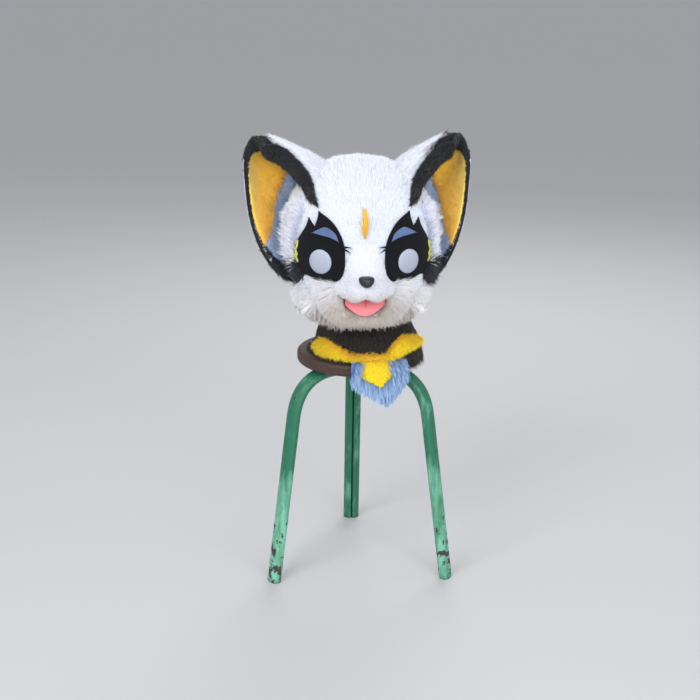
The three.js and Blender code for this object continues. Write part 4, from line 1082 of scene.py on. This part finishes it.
# Neck, collar and bib
neckForm = {
    "seat": 422.0, "shift": 11.0, "drawn": 0.1, "tuck": 11.0,
    "rows": [[0.4, 104, 108, 106], [14, 100, 104, 103], [32, 94, 98, 100], [52, 89, 94, 98], [69.6, 87, 92, 97]],
}
collarForm = {  # turn in degrees and height over the seat at the lower border, then at the upper
    "rows": [[-78, 14, -78, 18], [-69, 10, -72, 27], [-57, 9, -63, 33], [-42, 11.5, -47, 36], [-31, 13.5, -34, 32],
             [-22, 13, -23, 24.5], [-16, 12, -16, 18], [-9, 11, -7, 18.5], [-1, 10, 0, 19], [7, 8.5, 7, 18],
             [15, 8, 15, 20], [21, 12.5, 21, 30], [30, 17, 28, 39], [39, 20, 36, 44], [50, 22, 46, 43],
             [60, 22, 60, 37], [70, 22, 69, 32], [75, 24, 75, 27]],
    "pile": 6.0,
}
hemForm = {"inner": 88.0, "outer": 102.0, "thick": 3.5, "gap": [-14.0, 48.0]}  # no hem fur behind the bib
bibForm = {
    "reach": 118.3, "turn": 15.5, "arc": 25.5, "top": 431.0, "tip": 364.0, "left": 404.0, "right": 404.0, "tipAt": 0.27,
    "teeth": 9, "tooth": 5.0, "thick": 2.0, "off": 1.0, "belly": 3.0, "tuck": 11.0, "corner": [3.5, 14.0],
}
shieldForm = {
    "turn": 9.5, "skew": 4.5, "top": 436.0, "low": 393.0, "halves": [[0.5], [14], [26], [31], [24], [18]],
    "out": 12.0, "edge": 5.0, "topSunk": 6.0, "thick": 3.0,
}
neckLook = dict(headFurLook, density=55, length=12, lock=9, gather=0.4, lean=0.66, sink=1.5, droop=0.12)
hemLook = dict(neckLook, density=90, length=11, lean=0.7, droop=0.4)
collarLook = dict(headFurLook, density=130, length=10, spread=0.5, lock=5, gather=0.45, lean=0.5, sink=1.5,
                  stray=0.4, droop=0.12, width=1.2)
bibLook = dict(headFurLook, density=105, length=21, lock=6.5, gather=0.84, lean=0.66, sink=1.0, width=1.3, droop=0.2)
shieldLook = dict(headFurLook, density=220, length=7, lock=8, gather=0.2, lean=0.6, sink=1.0, width=1.2)
neckFur = furMaterial("brownBlackFauxFur", root="#0f0d0d", tip="#352f2d", mark="#4a3f3a",
                      uneven=0.15, lock=14, roughness=0.75)
collarYellow = furMaterial("yellowFauxFur", root="#ffc80c", tip="#fff03a", mark="#f5eca8",
                           uneven=0.12, lock=6, roughness=0.88, sheen=0.15)
bibBlue = furMaterial("skyBlueFauxFur", root="#2f5c9c", tip="#b4d1f5", mark="#c8d8f4",
                      uneven=0.36, lock=5, roughness=0.85)
bibCloth = feltMaterial("blueBackingCloth", low="#4a6cae", high="#6f90cc", fibre=1.5, cloud=15)


def tuckedIn(x):
    # the side at the wearer's right pressed in, most at its outermost
    return x + neckForm["tuck"] * smoothStep(-x, 40, 95)


def neckPoint(turn, z, out):
    # the neck's level section at a height over the seat, grown by out and set aside as it was put down
    rows = np.asarray(neckForm["rows"], float)
    row = alongRows(rows, np.interp(z, rows[:, 0], np.linspace(0, 1, len(rows))))
    reach = np.where(np.cos(turn) > 0, row[..., 2], row[..., 3])
    x = (row[..., 1] + out) * rooted(np.sin(turn), headForm["square"]) + neckForm["shift"]
    y = -(reach + out) * rooted(np.cos(turn), headForm["square"]) + headForm["middleY"]
    return np.stack([tuckedIn(x), y, z + neckForm["seat"]], -1)


def setAside(surface):
    # the neck's solid drawn in under the head and moved sideways, less at its hem, which the solid already sets aside
    points, triangles = surface
    up = np.clip((points[:, 2] - neckForm["seat"]) / neckForm["rows"][-1][0], 0, 1)
    aside = neckForm["shift"] * (1 - 0.5 * smoothStep(up, 0.7, 1)) - 7 * (1 - up) ** 2
    drawn = 1 - neckForm["drawn"] * smoothStep(up, 0.45, 1)
    return np.column_stack([tuckedIn(points[:, 0] * drawn + aside), points[:, 1:]]), triangles


def hemSurface():
    # a flat ring of the same fabric spread on the seat round the neck
    across, along = gridOf(121, 5)
    reach = hemForm["inner"] + (hemForm["outer"] - hemForm["inner"]) * along
    turn = np.pi * across
    level = lambda rise: np.stack([tuckedIn(reach * np.sin(turn)), headForm["middleY"] - reach * np.cos(turn),
                                   neckForm["seat"] + rise], -1)
    return sheetSurface(level(0.6 + hemForm["thick"] * (1 - 0.7 * along)), level(np.full_like(along, 0.5)))


def collarSurface():
    # a band with a rounded pile between its two borders, narrow in front, with a broad lobe towards each end
    across, along = gridOf(97, 13)
    row = alongRows(collarForm["rows"], (across + 1) / 2)
    turn = np.radians(row[..., 0] + (row[..., 2] - row[..., 0]) * along)
    z = row[..., 1] + (row[..., 3] - row[..., 1]) * along
    pile = collarForm["pile"] * np.sqrt(np.maximum(1 - (2 * along - 1) ** 2, 0)) + 0.5
    return sheetSurface(neckPoint(turn, z, pile), neckPoint(turn, z, np.full_like(z, seatDepth)))


def turnOf(roots):
    return np.arctan2(roots[:, 0], headForm["middleY"] - roots[:, 1])


def bibPoint(turn, z, out):
    reach = bibForm["reach"] + out
    return np.stack([reach * np.sin(turn), headForm["middleY"] - reach * np.cos(turn), z], -1)


def bibSurface():
    # a cloth tucked under the collar and hung round the front of the seat, its ragged hem falling to a point
    across, along = gridOf(73, 25)
    tip, tipAt = bibForm["tip"], bibForm["tipAt"]
    slope = np.where(across < tipAt, (tipAt - across) / (1 + tipAt), (across - tipAt) / (1 - tipAt))
    side = np.where(across < tipAt, bibForm["left"], bibForm["right"])
    hem = tip + (side - tip) * slope + bibForm["tooth"] * np.abs(np.sin(np.pi * bibForm["teeth"] * across))
    z = hem + (bibForm["top"] - hem) * along
    turn = np.radians(bibForm["turn"] + bibForm["arc"] * across)
    out = bibForm["off"] + bibForm["belly"] * np.sin(np.pi * along) - bibForm["tuck"] * smoothStep(along, 0.8, 1)
    return sheetSurface(bibPoint(turn, z, out + bibForm["thick"]), bibPoint(turn, z, out))


def shieldTurn(along):
    # the shield's middle line, skewed towards its point
    return np.radians(shieldForm["turn"] + shieldForm["skew"] * (1 - along) ** 2)


def shieldSurface():
    # a plain pointed shield on the bib
    across, along = gridOf(25, 25)
    z = shieldForm["low"] + (shieldForm["top"] - shieldForm["low"]) * along
    half = alongRows(shieldForm["halves"], along)[..., 0]
    turn = shieldTurn(along) + across * half / bibForm["reach"]
    out = shieldForm["out"] - shieldForm["edge"] * across ** 4 - shieldForm["topSunk"] * along ** 3
    return sheetSurface(bibPoint(turn, z, out), bibPoint(turn, z, out - shieldForm["thick"]))


def onShield(roots):
    along = (roots[:, 2] - shieldForm["low"]) / (shieldForm["top"] - shieldForm["low"])
    turn = turnOf(roots) - shieldTurn(np.clip(along, 0, 1))
    half = alongRows(shieldForm["halves"], along)[..., 0] * (along > 0)
    return np.abs(turn) * bibForm["reach"] < half - 3


def fromAxis(roots):
    return unit((roots - [0, headForm["middleY"], 0]) * [1, 1, 0])


def outside(roots, normals):
    # everywhere but on faces turned to the axis
    return (fromAxis(roots) * normals).sum(1) > -0.3


def fanOut(roots, normals):
    return fromAxis(roots) * 0.8 + np.array([0, 0, -0.4])


def clearOfBib(roots, normals):
    turn = np.degrees(turnOf(roots))
    low, high = hemForm["gap"]
    return ((turn < low) | (turn > high)) & (normals[:, 2] > -0.3)


def neckLength(roots):
    # short under the head, longer towards the seat
    return 0.45 + 0.9 * smoothStep(neckForm["seat"] + 45 - roots[:, 2], 0, 40)


def frontOfBib(roots, normals):
    # on the front and on the tucked top, not on the side edges or in the top's corners
    away = fromAxis(roots)
    aside = away[:, 0] * normals[:, 1] - away[:, 1] * normals[:, 0]
    turn = np.degrees(turnOf(roots)) - bibForm["turn"]
    wide, high = bibForm["corner"]
    corner = (np.abs(turn) > bibForm["arc"] - wide) & (roots[:, 2] > bibForm["top"] - high)
    return ((away * normals).sum(1) > 0) & (np.abs(aside) < 0.35) & ~corner & ~onShield(roots)


def neckPieces():
    neck = furPiece("neck_fur", setAside(solidSurface("neck")), neckLook, neckFur, "black_fur", ["neck"], downwards,
                    outside, neckLength, seed=51)
    furPiece("neck_hem_fur", hemSurface(), hemLook, neckFur, "black_fur", [], fanOut, clearOfBib, seed=55)
    collar = furPiece("collar_fur", collarSurface(), collarLook, collarYellow, "yellow_fur", ["collar"], fanOut,
                      outside, seed=52)
    cloth = makePiece("bib_cloth", bibSurface(), bibCloth, "blue_fur", ["bib"])
    fur = furPiece("bib_fur", bibSurface(), bibLook, bibBlue, "blue_fur", [], downwards, frontOfBib,
                   seed=53, skin=False)
    shield = furPiece("bib_shield_fur", shieldSurface(), shieldLook, collarYellow, "yellow_fur", ["bib_shield"],
                      downwards, outside, seed=54)


neckPieces()

# Stool: legs of folded steel tube under old green paint, and a stained board
stoolLook = {
    "seatTop": 422.0, "seatThick": 22.0, "seatRadius": 113.0, "edgeRound": 7.0,
    "footRadius": 185.0, "kneeRadius": 141.0, "kneeHeight": 311.0, "benchRadius": 58.0, "endRadius": 24.0,
    "halfWide": 15.5, "halfDeep": 11.0, "seamHalf": 1.4, "seamDeep": 4.0, "clear": 0.4,
    "turns": {"back": 0.0, "left": -120.0, "right": 120.0},
}
paintLook = {  # heights with 0.8 times the depth behind them, in metres, from none to the most chips and the palest green
    "green": "#1f6e51", "paleGreen": "#86cdae", "primer": "#3c3936", "seamShade": "#14231c", "streak": 16, "chip": 15,
    "chipped": (0.12, -0.04), "paleRange": (0.17, 0.09),
}


def greenPaintMaterial():
    # old enamel on steel: glossy green, paler in long streaks and most low on the front legs, chipped to dark
    # primer near the feet, with painted shade darkening the folded tube's seam
    material, tree, shader = newMaterial("wornGreenEnamel", roughness=0.38, specular=0.5)
    place = objectPlace(tree)
    axes = axesOf(tree, place)
    paleStreaks = noise(tree, place, paintLook["streak"], detail=5.0, roughness=0.65, stretch=(1, 1, 0.18))
    chips = noise(tree, place, paintLook["chip"], detail=4.0, roughness=0.6)
    forward = addNode(tree, "ShaderNodeMath", {"operation": "MULTIPLY_ADD"}, {
        0: axes["Y"], 1: 0.8, 2: axes["Z"]}).outputs[0]
    chance = summed(tree, chips, mapped(tree, forward, paintLook["chipped"], (0.0, 0.16), "SMOOTHSTEP"))
    chipped = mapped(tree, chance, (0.69, 0.71))
    paleness = summed(tree, paleStreaks, mapped(tree, forward, paintLook["paleRange"], (0.0, 0.28), "SMOOTHSTEP"))
    green = mixed(tree, mapped(tree, paleness, (0.54, 0.94)), paintLook["green"], paintLook["paleGreen"])
    bare = mixed(tree, chipped, green, paintLook["primer"])
    # the seam attribute darkens the paint in the groove: painted shade
    link(tree, shader, {"Base Color": mixed(tree, attribute(tree, "seam"), bare, paintLook["seamShade"]),
                        "Roughness": mapped(tree, chance, (0.4, 0.72), (0.32, 0.7)),
                        "Normal": bump(tree, chipped, strength=0.5, deep=0.4, invert=True)})
    return material


def boardMaterial():
    # stained board: brown, with darker grain lines a few millimetres apart and a dull varnish
    material, tree, shader = newMaterial("brownStainedBoard", roughness=0.55, specular=0.4)
    grain = noise(tree, objectPlace(tree), size=4, detail=4.0, roughness=0.6, stretch=(0.12, 1, 1))
    link(tree, shader, {"Base Color": mixed(tree, grain, "#2a1d19", "#57423a"),
                        "Normal": bump(tree, grain, strength=0.2, deep=0.4)})
    return material


def legSurface(degrees):
    # an oval with a seam groove, carried up a straight leg, over a bend and in under the seat, then turned about Z
    look = stoolLook
    level = look["seatTop"] - look["seatThick"] - look["clear"] - look["halfDeep"]
    slope = (look["footRadius"] - look["kneeRadius"]) / look["kneeHeight"]
    corner = np.array([look["footRadius"] - slope * level, level])
    foot, knee = np.array([look["footRadius"], 0.0]), np.array([look["kneeRadius"], look["kneeHeight"]])
    bench, end = np.array([look["benchRadius"], level]), np.array([look["endRadius"], level])
    t = np.linspace(0, 1, 25)[:, None]
    bend = (1 - t) ** 2 * knee + 2 * t * (1 - t) * corner + t ** 2 * bench
    rise = foot + np.linspace(0, 1, 24)[:, None] * (knee - foot)
    line = np.concatenate([rise[:-1], bend, bench + np.linspace(0.2, 1, 5)[:, None] * (end - bench)])
    way = unit(np.gradient(line, axis=0))
    way[0] = [0, 1]  # the foot is cut level
    outward2 = np.stack([way[:, 1], -way[:, 0]], -1)
    close = np.array([-0.16, -0.09, -0.06, -0.03, 0.03, 0.06, 0.09, 0.16]) % (2 * np.pi)  # finer at the seam
    turns = np.unique(np.concatenate([fullTurn(56), close]))
    x, out = look["halfWide"] * np.sin(turns), -look["halfDeep"] * np.cos(turns)
    groove = np.exp(-(x / look["seamHalf"]) ** 2) * (np.cos(turns) > 0)
    out = out + look["seamDeep"] * groove
    ring = line[:, None] + outward2[:, None] * out[None, :, None]
    rings = np.stack([np.tile(x, (len(line), 1)), ring[..., 0], ring[..., 1]], -1)
    cos, sin = math.cos(math.radians(degrees)), math.sin(math.radians(degrees))
    turned = rings @ np.array([[cos, sin, 0], [-sin, cos, 0], [0, 0, 1]])
    return ringSurface(turned + [0, headForm["middleY"], 0]), np.append(np.tile(groove, len(line)), [0, 0])


def seatSurface():
    # a lathe profile with rounded edges, closed at the axis
    look = stoolLook
    turn = np.linspace(0, np.pi / 2, 9)
    inner = look["seatRadius"] - look["edgeRound"]
    low, high = look["seatTop"] - look["seatThick"], look["seatTop"]
    reach = inner + look["edgeRound"] * np.sin(turn)
    drop = look["edgeRound"] * (1 - np.cos(turn))
    radius = np.concatenate([[2, inner * 0.6], reach, reach[::-1], [inner * 0.6, 2]])
    height = np.concatenate([[low, low], low + drop, high - drop[::-1], [high, high]])
    around = fullTurn(128)
    rings = np.stack([radius[:, None] * np.cos(around), radius[:, None] * np.sin(around) + headForm["middleY"],
                      np.tile(height[:, None], (1, 128))], -1)
    return ringSurface(rings)


def stoolPieces():
    paint = greenPaintMaterial()
    for word, degrees in stoolLook["turns"].items():
        surface, groove = legSurface(degrees)
        makePiece(f"stool_leg_{word}_tube", surface, paint, "green_paint", [f"stool_leg_{word}"], seam=groove)
    makePiece("stool_seat_board", seatSurface(), boardMaterial(), "brown_board", ["stool_seat"])


stoolPieces()
print("stool made")

# Floor, light and camera
stageLook = {"floorHalf": 60.0, "floor": "#c9c9cb", "sky": "#f2f4f8", "skyStrength": 0.62, "aim": [0, 0, 0.5]}
lamps = {
    "keySoftbox": {"place": (-1.7, -2.3, 2.5), "size": 1.8, "power": 52.0},
    "fillSoftbox": {"place": (0.9, -3.0, 1.5), "size": 2.4, "power": 58.0},
    "backSoftbox": {"place": (0.6, 2.0, 2.4), "size": 1.6, "power": 30.0},
}
photoView = {"turn": -4.0, "distance": 2.2, "height": 1.092, "pitch": 17.08, "roll": 0.5, "focalPx": 1248.0,
             "framePx": 700.0, "middlePx": 358.5, "sensor": 36.0}


def standing(name, data, axes, place):
    # a lamp or camera with its three axes turned as given
    thing = bpy.data.objects.new(name, data)
    bpy.context.scene.collection.objects.link(thing)
    thing.matrix_world = Matrix.Translation(place) @ Matrix(np.stack(axes, -1).tolist()).to_4x4()
    return thing


def stagePieces():
    half = stageLook["floorHalf"]
    mesh = bpy.data.meshes.new("floor")
    mesh.from_pydata([(-half, -half, 0), (half, -half, 0), (half, half, 0), (-half, half, 0)], [], [(0, 1, 2, 3)])
    floor = bpy.data.objects.new("floor", mesh)
    bpy.context.scene.collection.objects.link(floor)
    material, tree, shader = newMaterial("paleStudioFloor", roughness=0.8, specular=0.2)
    shader.inputs["Base Color"].default_value = linear(stageLook["floor"])
    mesh.materials.append(material)
    world = bpy.data.worlds.new("studio")
    world.use_nodes = True
    background = world.node_tree.nodes["Background"]
    background.inputs["Color"].default_value = linear(stageLook["sky"])
    background.inputs["Strength"].default_value = stageLook["skyStrength"]
    bpy.context.scene.world = world
    for name, lamp in lamps.items():
        light = bpy.data.lights.new(name, "AREA")
        light.size, light.energy = lamp["size"], lamp["power"]
        back = unit(np.array(lamp["place"]) - stageLook["aim"])
        right = unit(np.cross([0, 0, 1], back))
        standing(name, light, (right, np.cross(back, right), back), lamp["place"])


def photoCamera():
    # stands at the photograph's distance and height, looks down at its pitch, tips by its roll
    az, pitch, roll = (math.radians(photoView[word]) for word in ("turn", "pitch", "roll"))
    ahead = np.array([-math.sin(az) * math.cos(pitch), math.cos(az) * math.cos(pitch), -math.sin(pitch)])
    right = np.array([math.cos(az), math.sin(az), 0])
    up = np.cross(right, ahead)
    axes = (right * math.cos(roll) + up * math.sin(roll), up * math.cos(roll) - right * math.sin(roll), -ahead)
    data = bpy.data.cameras.new("photoCamera")
    data.sensor_width = photoView["sensor"]
    data.lens = photoView["focalPx"] / photoView["framePx"] * photoView["sensor"]
    data.shift_x = (photoView["framePx"] / 2 - photoView["middlePx"]) / photoView["framePx"]
    place = (math.sin(az) * photoView["distance"], -math.cos(az) * photoView["distance"], photoView["height"])
    bpy.context.scene.camera = standing("photoCamera", data, axes, place)


stagePieces()
photoCamera()
bpy.context.scene.view_settings.view_transform = "Standard"
print("stage, light and camera set")
